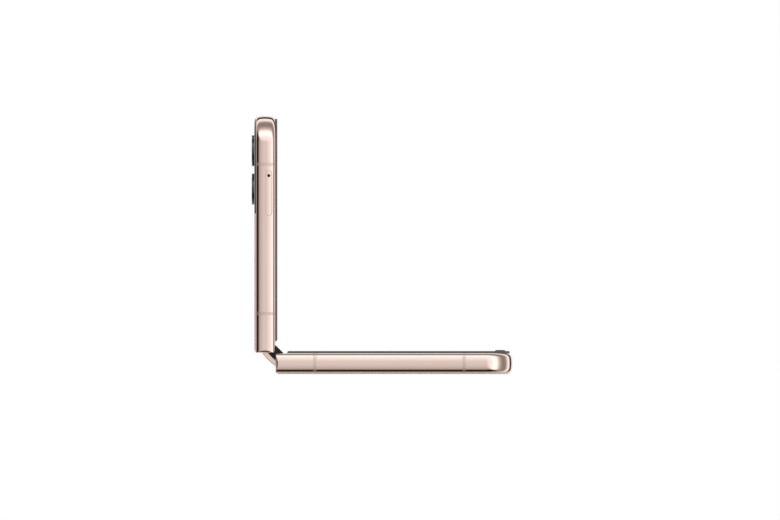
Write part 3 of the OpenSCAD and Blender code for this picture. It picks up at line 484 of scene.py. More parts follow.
def new_piece(
    name: str, skin: Skin, seat: Optional[Seat] = None, smooth: Optional[float] = None
) -> bpy.types.Object:
    """Make a closed piece whose faces point outwards.

    Args:
        name: The piece's name.
        skin: Its points, in the half's frame, or in the world in millimetres, and its faces.
        seat: The half whose frame the points are in.
        smooth: Angle in degrees up to which it is shaded smooth.

    Returns:
        The new object, at the origin.
    """
    points, faces = skin
    place = seat.world(points) if seat else np.asarray(points, float) * MM
    mesh = bpy.data.meshes.new(name)
    mesh.from_pydata([tuple(p) for p in place], [], [tuple(f) for f in faces])
    with opened(mesh) as shape:
        bmesh.ops.remove_doubles(shape, verts=shape.verts, dist=NEAR)
        bmesh.ops.dissolve_degenerate(shape, edges=shape.edges, dist=NEAR / 10)
        bmesh.ops.recalc_face_normals(shape, faces=shape.faces)
    piece = linked(name, mesh)
    if smooth is not None:
        smooth_by_angle(piece, smooth)
    return piece


@contextmanager
def opened(mesh: bpy.types.Mesh) -> Iterator[bmesh.types.BMesh]:
    """Open a mesh for editing, and write it back at the end.

    Args:
        mesh: The mesh.

    Yields:
        Its editable form.
    """
    shape = bmesh.new()
    shape.from_mesh(mesh)
    yield shape
    shape.to_mesh(mesh)
    shape.free()


def values_of(
    items: bpy.types.bpy_prop_collection, attribute: str, width: int = 1, kind: type = float
) -> np.ndarray:
    """Values of one attribute of all a mesh's points, corners or faces.

    Args:
        items: The points, corners or faces.
        attribute: The attribute's name.
        width: Values of each item.
        kind: Type of a value.

    Returns:
        One value for each item, or one row of them where it has several.
    """
    values = np.empty(len(items) * width, kind)
    items.foreach_get(attribute, values)
    return values.reshape(-1, width) if width > 1 else values


def smooth_by_angle(piece: bpy.types.Object, degrees: float) -> None:
    """Shade a piece smooth, but for its edges sharper than an angle."""
    piece.data.polygons.foreach_set("use_smooth", [True] * len(piece.data.polygons))
    piece.data.set_sharp_from_angle(angle=math.radians(degrees))


def tube(rings: Sequence[Sequence[Sequence[float]]], closed: bool = False) -> Skin:
    """Skin over rings of equal length.

    Args:
        rings: Rings of points, each a closed loop.
        closed: Whether the last ring joins the first. Otherwise both get an end face.

    Returns:
        Points and faces.
    """
    count = len(rings[0])
    points = [p for ring in rings for p in ring]
    faces = []
    for k in range(len(rings) - (0 if closed else 1)):
        a, b = k * count, (k + 1) % len(rings) * count
        for i in range(count):
            j = (i + 1) % count
            faces.append((a + i, a + j, b + j, b + i))
    if not closed:
        faces.append(tuple(range(count)))
        faces.append(tuple(range(len(points) - count, len(points))))
    return points, faces


def arc(centre: Pair, radius: float, start: float, end: float, steps: int) -> list[Pair]:
    """Points of an arc between two angles in degrees."""
    return [
        (centre[0] + radius * math.cos(a), centre[1] + radius * math.sin(a))
        for a in (math.radians(start + (end - start) * k / steps) for k in range(steps + 1))
    ]


def stadium(length: float, width: float, steps: int = 16) -> list[Pair]:
    """Outline of a slot with round ends."""
    r, x = width / 2, (length - width) / 2
    return arc((x, 0.0), r, -90, 90, steps) + arc((-x, 0.0), r, 90, 270, steps)


def lathe(centre: Pair, profile: Sequence[Pair], steps: int = 96) -> Skin:
    """Turned shape about an axis along n.

    Args:
        centre: Place of the axis (s, y).
        profile: Closed outline of the section, as radius and n.
        steps: Pieces of a turn.

    Returns:
        Points and faces. Points on the axis meet in one.
    """
    turns = [2 * math.pi * k / steps for k in range(steps)]
    return tube([
        [(centre[0] + r * math.cos(a), centre[1] + r * math.sin(a), n) for r, n in profile]
        for a in turns
    ], closed=True)


def joined(*parts: Skin) -> Skin:
    """One list of points and faces from several.

    Args:
        parts: Points and faces of each shape.

    Returns:
        Points and faces of all.
    """
    points, faces = [], []
    for more, loops in parts:
        faces += [tuple(i + len(points) for i in loop) for loop in loops]
        points += list(more)
    return points, faces


def finish_piece(
    piece: bpy.types.Object, body: str, slot: str, *nodes: str, record_slot: Optional[str] = None
) -> None:
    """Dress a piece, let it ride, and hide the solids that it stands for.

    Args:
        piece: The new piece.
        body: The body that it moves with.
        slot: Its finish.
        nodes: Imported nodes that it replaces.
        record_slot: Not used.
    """
    piece.data.materials.clear()
    piece.data.materials.append(Palette.get(slot))
    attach(piece, body)
    if nodes:
        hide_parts(*nodes)
    log.info("%s on %s: %d faces", piece.name, body, len(piece.data.polygons))


# ---- true normals on copies of the machined solids

Candidates = Callable[[np.ndarray], list[np.ndarray]]
# Keeps a division away from zero.
TINY = 1e-12


def merged_copy(node: str, name: str) -> bpy.types.Object:
    """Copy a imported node's mesh into a new object, its loose triangles merged.

    Args:
        node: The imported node.
        name: The copy's name.

    Returns:
        The new object.
    """
    mesh = frame["nodes"][node].data.copy()
    mesh.name = name
    with opened(mesh) as shape:
        bmesh.ops.remove_doubles(shape, verts=shape.verts, dist=NEAR / 10)
    return linked(name, mesh)


class TrueShape:
    """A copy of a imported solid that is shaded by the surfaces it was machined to."""

    MATCH = 0.975

    def __init__(self, candidates: Candidates) -> None:
        """Keep the function that gives the surfaces' normals at world points."""
        self.candidates = candidates

    def copy(self, node: str, name: str) -> bpy.types.Object:
        """Copy a node's mesh, merged, with the normals of its true surfaces.

        Args:
            node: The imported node.
            name: The copy's name.

        Returns:
            The new object.
        """
        piece = merged_copy(node, name)
        self.shade(piece.data)
        return piece

    def shade(self, mesh: bpy.types.Mesh) -> None:
        """Give each corner the candidate nearest to its face, or the face's normal.

        Args:
            mesh: The merged mesh.
        """
        at = values_of(mesh.vertices, "co", 3)[values_of(mesh.loops, "vertex_index", kind=int)]
        corners_each = values_of(mesh.polygons, "loop_total", kind=int)
        normal = np.repeat(values_of(mesh.polygons, "normal", 3), corners_each, axis=0)
        best, score = normal.copy(), np.full(len(at), self.MATCH)
        for option in self.candidates(at):
            likeness = np.einsum("ij,ij->i", option, normal)
            better = likeness > score
            best[better] = option[better]
            score[better] = likeness[better]
        mesh.polygons.foreach_set("use_smooth", [True] * len(mesh.polygons))
        mesh.normals_split_custom_set(best)


def unit(vectors: np.ndarray) -> np.ndarray:
    """Vectors at length one."""
    return vectors / np.maximum(np.linalg.norm(vectors, axis=1, keepdims=True), TINY)


class RimShape(TrueShape):
    """The crowned and rounded rim of a half, with its round corners and ends."""

    def __init__(self, seat: Seat) -> None:
        """Keep the half's seat and sizes.

        Args:
            seat: The half.
        """
        super().__init__(self.normals)
        self.seat = seat
        self.rim = seat.rim

    def tilt(self, n: np.ndarray) -> np.ndarray:
        """Angle of the rim's normal out of the phone's plane, upwards along n.

        Args:
            n: Heights of the points.

        Returns:
            An angle for each.
        """
        rim, middle = self.rim, self.rim.thickness / 2
        low = n < middle
        height = np.where(low, n, rim.thickness - n)
        radius = np.where(low, rim.outer_edge, rim.inner_edge)
        begin = np.where(low, rim.crown_angle(rim.outer_edge), rim.crown_angle(rim.inner_edge))
        crown = np.arcsin(np.clip((middle - height) / rim.crown, 0.0, 1.0))
        edge = np.arcsin(np.clip((radius - height) / radius, 0.0, 1.0))
        angle = np.where(crown < begin, crown, np.maximum(edge, begin))
        return np.where(low, -angle, angle)

    def outward(self, s: np.ndarray, y: np.ndarray) -> tuple[np.ndarray, np.ndarray]:
        """Outward direction of the outline nearest to a point, as its s and y.

        Args:
            s: Places along the half.
            y: Places across it.

        Returns:
            Shares along s and along y.
        """
        rim = self.rim
        ds = s - (rim.length - rim.corner)
        dy = np.abs(y) - (rim.width / 2 - rim.corner)
        length = np.maximum(np.hypot(ds, dy), TINY)
        corner = (ds > 0) & (dy > 0)
        end = (rim.length - s) < (rim.width / 2 - np.abs(y))
        o_s = np.where(corner, ds / length, np.where(end, 1.0, 0.0))
        o_y = np.where(corner, dy / length, np.where(end, 0.0, 1.0))
        return o_s, o_y * np.sign(y)

    def normals(self, points: np.ndarray) -> list[np.ndarray]:
        """Normals of the rim, the upright hinge corners and the hinge end's edges.

        Args:
            points: World places in metres.

        Returns:
            Normals at the points, one list for each surface.
        """
        rim = self.rim
        s, y, n = self.seat.local(points).T
        o_s, o_y = self.outward(s, y)
        tilt = self.tilt(n)
        found = [np.stack([o_s * np.cos(tilt), o_y * np.cos(tilt), np.sin(tilt)], axis=1)]
        r = rim.hinge_corner
        away = np.abs(y) - (rim.width / 2 - r)
        found.append(unit(np.stack([s - r, np.sign(y) * away, 0 * s], axis=1)))
        found[-1][(s > r) | (away < 0)] = 0
        for radius, centre, side in (
            (rim.end_outer, rim.end_outer, n < rim.end_outer),
            (rim.end_inner, rim.thickness - rim.end_inner, n > rim.thickness - rim.end_inner),
        ):
            found.append(unit(np.stack([s - radius, 0 * s, n - centre], axis=1)))
            found[-1][(s > radius) | ~side] = 0
        return [option @ self.seat.axes for option in found]


class TurnedShape(TrueShape):
    """A solid with surfaces round axes along y, such as the spine's cover."""

    def __init__(self, centres: Sequence[Pair]) -> None:
        """Keep the axes' places x and z, in world millimetres."""
        super().__init__(self.normals)
        self.centres = centres

    def normals(self, points: np.ndarray) -> list[np.ndarray]:
        """Normals away from each axis and towards it.

        Args:
            points: World places in metres.

        Returns:
            Normals at the points, two lists for each axis.
        """
        found = []
        for x, z in self.centres:
            away = unit((points - np.array([x, 0.0, z]) * MM) * (1.0, 0.0, 1.0))
            found += [away, -away]
        return found


# ---- sub-assemblies

@dataclass
class HalfShell:
    """Frame, antenna bands, back glass and bezel of one half."""

    seat: Seat
    bezel_inset: float = 2.0
    bezel_end_inset: float = 1.1
    bezel_lap: float = 3.7
    bezel_seat: float = 7.05
    bezel_top: float = 7.95
    bezel_edge: float = 0.28
    bezel_lip: float = 0.2
    bezel_start: float = 4.2
    bezel_nose: float = 0.4
    screen_edge: float = 3.34
    rim_top: float = 7.43
    corner_steps: int = 24
    nose_steps: int = 6

    @property
    def body(self) -> str:
        """The body that the half's pieces ride on."""
        return self.seat.half.value

    def build(self) -> None:
        """Make and dress the shell's pieces."""
        shape = RimShape(self.seat)
        for node, slot in (
            (f"{self.body}_frame", "anodised_gold"),
            (f"{self.body}_bands", "band_plastic"),
            (f"{self.body}_back_glass", "pink_glass"),
        ):
            finish_piece(shape.copy(node, f"{node}_shell"), self.body, slot, node)
        self.bezel()

    def bezel_section(self, outer: float) -> list[Pair]:
        """Section of the bezel as depth from the side face and n.

        Args:
            outer: Depth of its outer face.

        Returns:
            The closed section.
        """
        inner, top = self.bezel_lap, self.bezel_top
        edge, lip = self.bezel_edge, self.bezel_lip
        return (
            [(outer, self.bezel_seat)]
            + arc((outer + edge, top - edge), edge, 180, 90, steps=6)
            + arc((inner - lip, top - lip), lip, 90, 0, steps=5)
            + [(inner, self.rim_top), (self.screen_edge, self.rim_top)]
            + [(self.screen_edge, self.bezel_seat)]
        )

    def bezel_stations(self) -> list[tuple[Pair, Pair, float]]:
        """Stations along the bezel, each with its share of the full height.

        Returns:
            The point, its outward direction and the share.
        """
        stations = self.seat.rim.outline(self.bezel_start, self.corner_steps)
        nose = [
            (t, math.sqrt(1 - (1 - t / self.bezel_nose) ** 2))
            for t in (self.bezel_nose * k / self.nose_steps for k in range(self.nose_steps + 1))
        ]
        (s0, y0), out0 = stations[0]
        (s1, y1), out1 = stations[-1]
        first = [((s0 + t, y0), out0, h) for t, h in nose]
        last = [((s1 + t, y1), out1, h) for t, h in reversed(nose)]
        return first + [(p, o, 1.0) for p, o in stations[1:-1]] + last

    def bezel(self) -> None:
        """Sweep the bezel round the three outer sides."""
        low, side, end = self.rim_top, self.bezel_inset, self.bezel_end_inset
        rings = [
            [
                (s - d * o_s, y - d * o_y, n if n <= low else low + (n - low) * share)
                for d, n in self.bezel_section(side + (end - side) * o_s ** 3)
            ]
            for (s, y), (o_s, o_y), share in self.bezel_stations()
        ]
        piece = new_piece(f"{self.body}_bezel_ring", tube(rings), self.seat)
        if self.seat.half is Half.UPPER:
            cut_away(piece, EarSlit(self.seat).cutter())
        smooth_by_angle(piece, 40)
        finish_piece(piece, self.body, "bezel_plastic", f"{self.body}_bezel")


def cut_away(piece: bpy.types.Object, cutter: bpy.types.Object) -> None:
    """Subtract a cutter from a piece and delete the cutter.

    Args:
        piece: The piece.
        cutter: What is taken away from it.
    """
    cut = piece.modifiers.new("cut", "BOOLEAN")
    cut.operation = "DIFFERENCE"
    cut.solver = "EXACT"
    cut.object = cutter
    settle(piece)
    bpy.data.objects.remove(cutter)


def settle(piece: bpy.types.Object) -> None:
    """Apply a piece's modifiers to its mesh.

    Args:
        piece: The piece.
    """
    evaluated = piece.evaluated_get(bpy.context.evaluated_depsgraph_get())
    mesh = bpy.data.meshes.new_from_object(evaluated)
    piece.modifiers.clear()
    piece.data = mesh


@dataclass
class Bumpers:
    """The two domed rubber bumpers on the lower half's bezel, bent along its corners."""

    seat: Seat
    length: float = 4.4
    width: float = 1.5
    height: float = 0.35
    base: float = 7.95
    sunk: float = 0.02
    dome_steps: int = 8
    dome_from: float = 0.12
    dome_to: float = 0.95
    from_end: float = 4.0
    bezel_middle: float = 2.85

    def ring(self, inset: float, n: float, side: int) -> list[tuple[float, float, float]]:
        """Outline of a bumper at an inset and a height, on one side.

        Args:
            inset: How far inside the bumper's outline.
            n: The height.
            side: Which side, -1 or 1.

        Returns:
            The ring of points.
        """
        rim = self.seat.rim
        r = rim.corner - self.bezel_middle
        turn = math.asin((rim.corner - self.from_end) / r)
        points = []
        for along, across in stadium(self.length - 2 * inset, self.width - 2 * inset, steps=10):
            a, reach = turn + along / r, r + across
            s = rim.length - rim.corner + reach * math.sin(a)
            y = rim.width / 2 - rim.corner + reach * math.cos(a)
            points.append((s, y * side, n))
        return points

    def build(self) -> None:
        """Make both bumpers with a low domed face."""
        half = self.width / 2
        parts = []
        for side in (-1, 1):
            rings = [self.ring(0.0, self.base - self.sunk, side)]
            for a in np.linspace(self.dome_from, self.dome_to, self.dome_steps + 1) * math.pi / 2:
                top = self.base + self.height * math.sin(a)
                rings.append(self.ring(half * (1 - math.cos(a)), top, side))
            parts.append(tube(rings))
        piece = new_piece("rubber_bumpers", joined(*parts), self.seat, smooth=60)
        finish_piece(piece, "lower", "rubber", "lower_bumpers")


@dataclass
class EarSlit:
    """The earpiece slit in the upper bezel and its fine grille."""

    seat: Seat
    length: float = 11.0
    width: float = 0.6
    from_end: float = 3.3
    top: float = 7.72
    cut: Pair = (6.5, 9.0)
    pitch: float = 0.25
    bar: float = 0.07

    @property
    def middle(self) -> float:
        """Place s of the slit's middle line."""
        return self.seat.rim.length - self.from_end + self.width / 2

    def cutter(self) -> bpy.types.Object:
        """Block that cuts the slit, with round ends.

        Returns:
            The block, which is removed after the cut.
        """
        outline = stadium(self.length, self.width, steps=8)
        rings = [[(self.middle + b, a, n) for a, b in outline] for n in self.cut]
        return new_piece("ear_slit_cutter", tube(rings), self.seat)

    def build(self) -> None:
        """Lay the grille into the slit."""
        geometry_piece("ear_grille", bar_grid_tree(), {
            "Length": self.length * MM, "Width": self.width * MM, "Pitch": self.pitch * MM,
            "Bar": self.bar * MM,
        }, self.seat, (self.middle, 0.0, self.top), "dark_metal")


# ---- geometry nodes

class ShapeNodes(Nodes):
    """Nodes of a Geometry Nodes tree that makes its own geometry."""

    def __init__(self, name: str, sizes: Sequence[str], counts: Sequence[str] = ()) -> None:
        """Start the tree.

        Args:
            name: The tree's name.
            sizes: Names of its float inputs.
            counts: Names of its whole-number inputs.
        """
        super().__init__(bpy.data.node_groups.new(name, "GeometryNodeTree"))
        kinds = {label: "NodeSocketFloat" for label in sizes}
        kinds.update({label: "NodeSocketInt" for label in counts}, Material="NodeSocketMaterial")
        for label, kind in kinds.items():
            self.tree.interface.new_socket(label, in_out="INPUT", socket_type=kind)
        shape = {"in_out": "OUTPUT", "socket_type": "NodeSocketGeometry"}
        self.tree.interface.new_socket("Geometry", **shape)
        self.inputs = {s.name: s for s in self.add("NodeGroupInput").outputs if s.name}
        self.out = self.add("NodeGroupOutput")

    def row(
        self, count: Socket, start: object, step: Socket, shape: Socket, **more: object
    ) -> Socket:
        """Instances of a shape in a straight row.

        Args:
            count: How many.
            start: Place of the first.
            step: Vector from each to the next.
            shape: The geometry that is repeated.
            more: Further inputs of the instances, by name.

        Returns:
            The instances.
        """
        places = {"Count": count, "Start Location": start, "Offset": step}
        line = self.add("GeometryNodeMeshLine", places).outputs[0]
        inputs = {"Points": line, "Instance": shape, **more}
        return self.add("GeometryNodeInstanceOnPoints", inputs).outputs[0]

    def wire(self, path: Socket, around: int, caps: bool = False) -> Socket:
        """Round wire of the tree's own thickness along a curve.

        Args:
            path: The curve.
            around: Sides of the wire.
            caps: Whether its ends are closed.

        Returns:
            The wire's surface.
        """
        profile = {"Resolution": around, "Radius": self.inputs["Wire"]}
        ring = self.add("GeometryNodeCurvePrimitiveCircle", profile).outputs[0]
        return self.add("GeometryNodeCurveToMesh", {0: path, 1: ring, "Fill Caps": caps}).outputs[0]

    def end(self, *shapes: Socket) -> bpy.types.NodeTree:
        """Join the shapes, realize their instances and set their material.

        Args:
            shapes: What the tree makes.

        Returns:
            The tree.
        """
        join = self.add("GeometryNodeJoinGeometry")
        for shape in shapes:
            self.link(shape, join.inputs[0])
        real = self.add("GeometryNodeRealizeInstances", {0: join.outputs[0]})
        dress = {"Geometry": real.outputs[0], "Material": self.inputs["Material"]}
        self.link(self.add("GeometryNodeSetMaterial", dress).outputs[0], self.out.inputs[0])
        return self.tree


def geometry_piece(
    name: str, tree: bpy.types.NodeTree, values: dict[str, float], seat: Seat,
    centre: Sequence[float], slot: str, *nodes: str, smooth: Optional[float] = None,
    record_slot: Optional[str] = None,
) -> None:
    """Turn a Geometry Nodes tree into a plain mesh, lay it into a half and dress it.

    Args:
        name: The piece's name.
        tree: The tree, which makes its shape about the world's origin.
        values: Values of its inputs by name.
        seat: The half, whose body it moves with.
        centre: Where the shape's origin goes (s, y, n), in millimetres.
        slot: Its finish.
        nodes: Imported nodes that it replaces.
        smooth: Angle in degrees up to which it is shaded smooth.
        record_slot: Slot of the record, where the finish isn't one of them.
    """
    piece = linked(name, bpy.data.meshes.new(name))
    modifier = piece.modifiers.new("shape", "NODES")
    modifier.node_group = tree
    keys = {i.name: i.identifier for i in tree.interface.items_tree if i.in_out == "INPUT"}
    for label, value in {**values, "Material": Palette.get(slot)}.items():
        modifier[keys[label]] = value
    bpy.context.view_layer.update()
    settle(piece)
    placed = values_of(piece.data.vertices, "co", 3) @ seat.axes + seat.world([centre])[0]
    piece.data.vertices.foreach_set("co", placed.ravel())
    if seat.mirrored:
        piece.data.flip_normals()
    piece.data.update()
    if smooth is not None:
        smooth_by_angle(piece, smooth)
    finish_piece(piece, seat.half.value, slot, *nodes, record_slot=record_slot)


def bar_grid_tree() -> bpy.types.NodeTree:
    """Grille of crossing bars in the x-y plane, long along y.

    Returns:
        The tree.
    """
    nodes = ShapeNodes("Bar grille", ("Length", "Width", "Pitch", "Bar"))
    long, wide, pitch, bar = (nodes.inputs[k] for k in ("Length", "Width", "Pitch", "Bar"))
    rows = []
    for across, size, axis in ((wide, (bar, long, bar), "x"), (long, (wide, bar, bar), "y")):
        gaps = nodes.math("FLOOR", nodes.math("DIVIDE", across, pitch))
        begin = nodes.math("MULTIPLY", nodes.math("MULTIPLY", gaps, pitch), -0.5)
        start, step = nodes.xyz(**{axis: begin}), nodes.xyz(**{axis: pitch})
        cube = nodes.add("GeometryNodeMeshCube", {"Size": nodes.xyz(*size)}).outputs[0]
        rows.append(nodes.row(nodes.math("ADD", gaps, 1.0), start, step, cube))
    return nodes.end(*rows)


def gauze_tree() -> bpy.types.NodeTree:
    """Round patches of woven gauze in a row along y, facing x.

    Returns:
        The tree.
    """
    sizes = ("Pitch", "Diameter", "Wire", "Trim")
    nodes = ShapeNodes("Gauze patches", sizes, ("Patches", "Threads"))
    io = nodes.inputs
    grid = nodes.add("GeometryNodeMeshGrid", {
        "Size X": io["Diameter"], "Size Y": io["Diameter"],
        "Vertices X": io["Threads"], "Vertices Y": io["Threads"],
    })
    place = nodes.add("GeometryNodeInputPosition").outputs[0]
    reach = nodes.add("ShaderNodeVectorMath", {0: place}, operation="LENGTH").outputs["Value"]
    limit = nodes.math("MULTIPLY", io["Diameter"], io["Trim"])
    outside = nodes.add("FunctionNodeCompare", {0: reach, 1: limit}).outputs[0]
    trim = {"Geometry": grid.outputs[0], "Selection": outside}
    disc = nodes.add("GeometryNodeDeleteGeometry", trim).outputs[0]
    threads = nodes.add("GeometryNodeMeshToCurve", {0: disc}).outputs[0]
    return nodes.end(nodes.row(
        io["Patches"], (0.0, 0.0, 0.0), nodes.xyz(y=io["Pitch"]), nodes.wire(threads, around=5),
        Rotation=(0.0, math.pi / 2, 0.0),
    ))


def contact_tree() -> bpy.types.NodeTree:
    """Rows of flat contacts along y on both faces of a tongue.

    Returns:
        The tree.
    """
    nodes = ShapeNodes("Contact rows", ("Pitch", "Long", "Wide", "Thin", "Apart"), ("Count",))
    io = nodes.inputs
    half = nodes.math("MULTIPLY", nodes.math("SUBTRACT", io["Count"], 1.0), -0.5)
    begin = nodes.math("MULTIPLY", half, io["Pitch"])
    size = nodes.xyz(io["Long"], io["Wide"], io["Thin"])
    bar = nodes.add("GeometryNodeMeshCube", {"Size": size}).outputs[0]
    step = nodes.xyz(y=io["Pitch"])
    heights = [nodes.math("MULTIPLY", io["Apart"], side) for side in (-0.5, 0.5)]
    return nodes.end(*(
        nodes.row(io["Count"], nodes.xyz(0.0, begin, height), step, bar) for height in heights
    ))


def winding_tree() -> bpy.types.NodeTree:
    """Flat spiral winding in the x-y plane.

    Returns:
        The tree.
    """
    nodes = ShapeNodes("Flat winding", ("Turns", "Inner", "Outer", "Wire"))
    io = nodes.inputs
    spiral = nodes.add("GeometryNodeCurveSpiral", {
        "Resolution": 64, "Rotations": io["Turns"], "Start Radius": io["Inner"],
        "End Radius": io["Outer"], "Height": 0.0,
    })
    return nodes.end(nodes.wire(spiral.outputs[0], around=8, caps=True))


@dataclass
class PortEnd:
    """What shows in the openings of the lower half's free end."""

    seat: Seat
    height: float = 4.5
    depth: float = 0.9
    first_hole: float = -8.4
    hole_pitch: float = -2.1
    holes: int = 6
    hole: float = 1.1
    threads: int = 9
    thread: float = 0.03
    trim: float = 0.53
    tongue_tip: float = 1.2
    contacts: int = 12
    contact_pitch: float = 0.5
    contact_length: float = 3.4
    contact_width: float = 0.26
    contact_thickness: float = 0.03
    contact_inset: float = 0.2
    contact_faces: float = 0.72

    def build(self) -> None:
        """Make the gauze behind the loudspeaker holes and the port's contacts."""
        end = self.seat.rim.length
        geometry_piece("loudspeaker_gauze", gauze_tree(), {
            "Patches": self.holes, "Pitch": self.hole_pitch * MM, "Diameter": self.hole * MM,
            "Threads": self.threads, "Wire": self.thread * MM, "Trim": self.trim,
        }, self.seat, (end - self.depth, self.first_hole, self.height), "dark_metal", smooth=80)
        middle = end - self.tongue_tip - self.contact_inset - self.contact_length / 2
        geometry_piece("port_contacts", contact_tree(), {
            "Count": self.contacts, "Pitch": self.contact_pitch * MM,
            "Long": self.contact_length * MM, "Wide": self.contact_width * MM,
            "Thin": self.contact_thickness * MM, "Apart": self.contact_faces * MM,
        }, self.seat, (middle, 0.0, self.height), "gold_contact", record_slot="copper")


@dataclass
class ChargingCoil:
    """Flat copper winding behind the lower battery's glass side."""

    seat: Seat
    turns: float = 12.0
    wire: float = 0.14
    inner_share: float = 1 / 3

    def build(self) -> None:
        """Wind the coil inside the space of its solid."""
        low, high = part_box("charging_coil")
        middle = self.seat.local(np.array([(low + high) / 2]))[0]
        outer = (high.y - low.y) / 2 - self.wire * MM
        geometry_piece("copper_winding", winding_tree(), {
            "Turns": self.turns, "Inner": outer * self.inner_share, "Outer": outer,
            "Wire": self.wire * MM,
        }, self.seat, middle, "copper", "charging_coil", smooth=60)


@dataclass
class Cameras:
    """Cover glass, camera rings, lenses and flash on the upper half."""

    seat: Seat
    ring: float = 5.5
    ring_top: float = -1.0
    neck: float = 4.9
    neck_base: float = 1.1
    bore: float = 3.8
    glass: float = 4.4
    glass_low: float = -0.35
    glass_high: float = -0.75
    barrel: float = 3.7
    barrel_top: float = -0.3
    base_top: float = 1.1
    base_bottom: float = 6.1
    base_side: float = 9.6
    from_end: float = 11.8
    pitch: float = 13.4
    side: float = 12.0
    # Profiles are pairs of a distance from a radius and a depth below a top.
    ring_seat: tuple[Pair, ...] = ((0.05, 0.32), (0.12, 0.18), (0.3, 0.05), (0.42, 0.0))
    ring_edge: tuple[Pair, ...] = (
        (0.28, 0.0), (0.12, 0.05), (0.04, 0.13), (0.0, 0.28), (0.0, 0.62), (0.05, 0.66),
        (0.05, 0.72), (0.0, 0.76),
    )
    neck_face: float = -0.01
    foot: Pair = (0.6, 1.1)
    baffles: int = 4
    baffle_lip: float = 0.45
    baffle_edge: tuple[Pair, ...] = ((0.5, 0.04), (0.84, 0.12))
    baffle_step: Pair = (0.42, 0.16)
    barrel_floor: float = 0.3
    overlap: float = 0.01
    element: float = 1.75
    element_dome: float = 0.42
    element_base: float = 0.62
    element_thickness: float = 0.2
    element_steps: int = 10
    glass_bevel: float = 0.12
    flash: float = 1.8
    flash_side: float = 9.0
    flash_back: float = 0.6
    ridges: int = 6
    ridge_first: float = 0.25
    ridge_pitch: float = 0.24
    ridge: tuple[Pair, ...] = ((0.0, 0.05), (0.06, 0.0), (0.12, 0.02))
    flash_middle: float = 0.03
    flash_edge: tuple[Pair, ...] = ((0.08, 0.0), (0.0, 0.06))

    @property
    def centres(self) -> list[Pair]:
        """Places (s, y) of the two cameras, the outer one first.

        Returns:
            The two places.
        """
        rim = self.seat.rim
        y = rim.width / 2 - self.side
        s = rim.length - self.from_end
        return [(s, y), (s - self.pitch, y)]

    def ring_section(self) -> list[Pair]:
        """Section of a camera ring: bevelled rim, step for the glass, neck and foot.

        Returns:
            The closed section, as radius and n.
        """
        top, (low, high) = self.ring_top, self.foot
        bore = [(self.bore, self.neck_base), (self.bore, self.glass_low)]
        seat = [(self.glass + a, top + b) for a, b in self.ring_seat]
        edge = [(self.ring - a, top + b) for a, b in self.ring_edge]
        neck = [(self.ring, self.neck_face), (self.neck, self.neck_face), (self.neck, low)]
        return bore + [(seat[0][0], self.glass_low)] + seat + edge + neck + [
            (self.ring, low), (self.ring, high)
        ]

    def barrel_section(self) -> list[Pair]:
        """Section of a camera barrel: stepped baffles down to the front element.

        Returns:
            The closed section, as radius and n.
        """
        r, top, base = self.barrel, self.barrel_top, self.base_top + self.overlap
        inwards, deeper = self.baffle_step
        steps = [
            (r - a - inwards * k, top + b + deeper * k)
            for k in range(self.baffles) for a, b in self.baffle_edge
        ]
        (inner, deep), lip = steps[-1], (r - self.baffle_lip, top)
        floor = deep + self.barrel_floor
        return [(r, base), (r, top), lip] + steps + [(inner, floor), (0.0, floor), (0.0, base)]

    def element_section(self) -> list[Pair]:
        """Section of the domed front element.

        Returns:
            The closed section, as radius and n.
        """
        r, dome, base = self.element, self.element_dome, self.element_base
        radius = (r * r + dome * dome) / (2 * dome)
        rise = [
            (a, base - dome + radius - math.sqrt(radius ** 2 - a ** 2))
            for a in (r * k / self.element_steps for k in range(self.element_steps + 1))
        ]
        back = base + self.element_thickness
        return [(0.0, back)] + rise + [(r, back)]

    def glass_section(self) -> list[Pair]:
        """Section of the flat cover glass with its polished bevel.

        Returns:
            The closed section, as radius and n.
        """
        low, high = self.glass_low - self.overlap, self.glass_high
        r, bevel = self.glass, self.glass_bevel
        return [(0.0, low), (0.0, high), (r - bevel, high), (r, high + bevel), (r, low)]

    def flash_section(self) -> list[Pair]:
        """Section of the flash window with its concentric ridges.

        Returns:
            The closed section, as radius and n.
        """
        ridges = [
            (self.ridge_first + self.ridge_pitch * k + a, n)
            for k in range(self.ridges) for a, n in self.ridge
        ]
        edge = [(self.flash - a, n) for a, n in self.flash_edge]
        back = self.flash_back
        return [(0.0, back), (0.0, self.flash_middle)] + ridges + edge + [(self.flash, back)]

    def turned(
        self, name: str, centres: Sequence[Pair], section: Sequence[Pair], smooth: float,
        slot: str, *nodes: str, steps: int = 96, more: Sequence[Skin] = (),
        record_slot: Optional[str] = None,
    ) -> None:
        """Make and dress one piece that is turned round one axis or two.

        Args:
            name: The piece's name.
            centres: Places (s, y) of the axes.
            section: Closed section, as radius and n.
            smooth: Angle in degrees up to which it is shaded smooth.
            slot: Its finish.
            nodes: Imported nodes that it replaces.
            steps: Pieces of a turn.
            more: Further shapes in the same piece.
            record_slot: Slot of the record, where the finish isn't one of them.
        """
        skins = [lathe(centre, section, steps) for centre in centres]
        piece = new_piece(name, joined(*skins, *more), self.seat, smooth)
        finish_piece(piece, "upper", slot, *nodes, record_slot=record_slot)

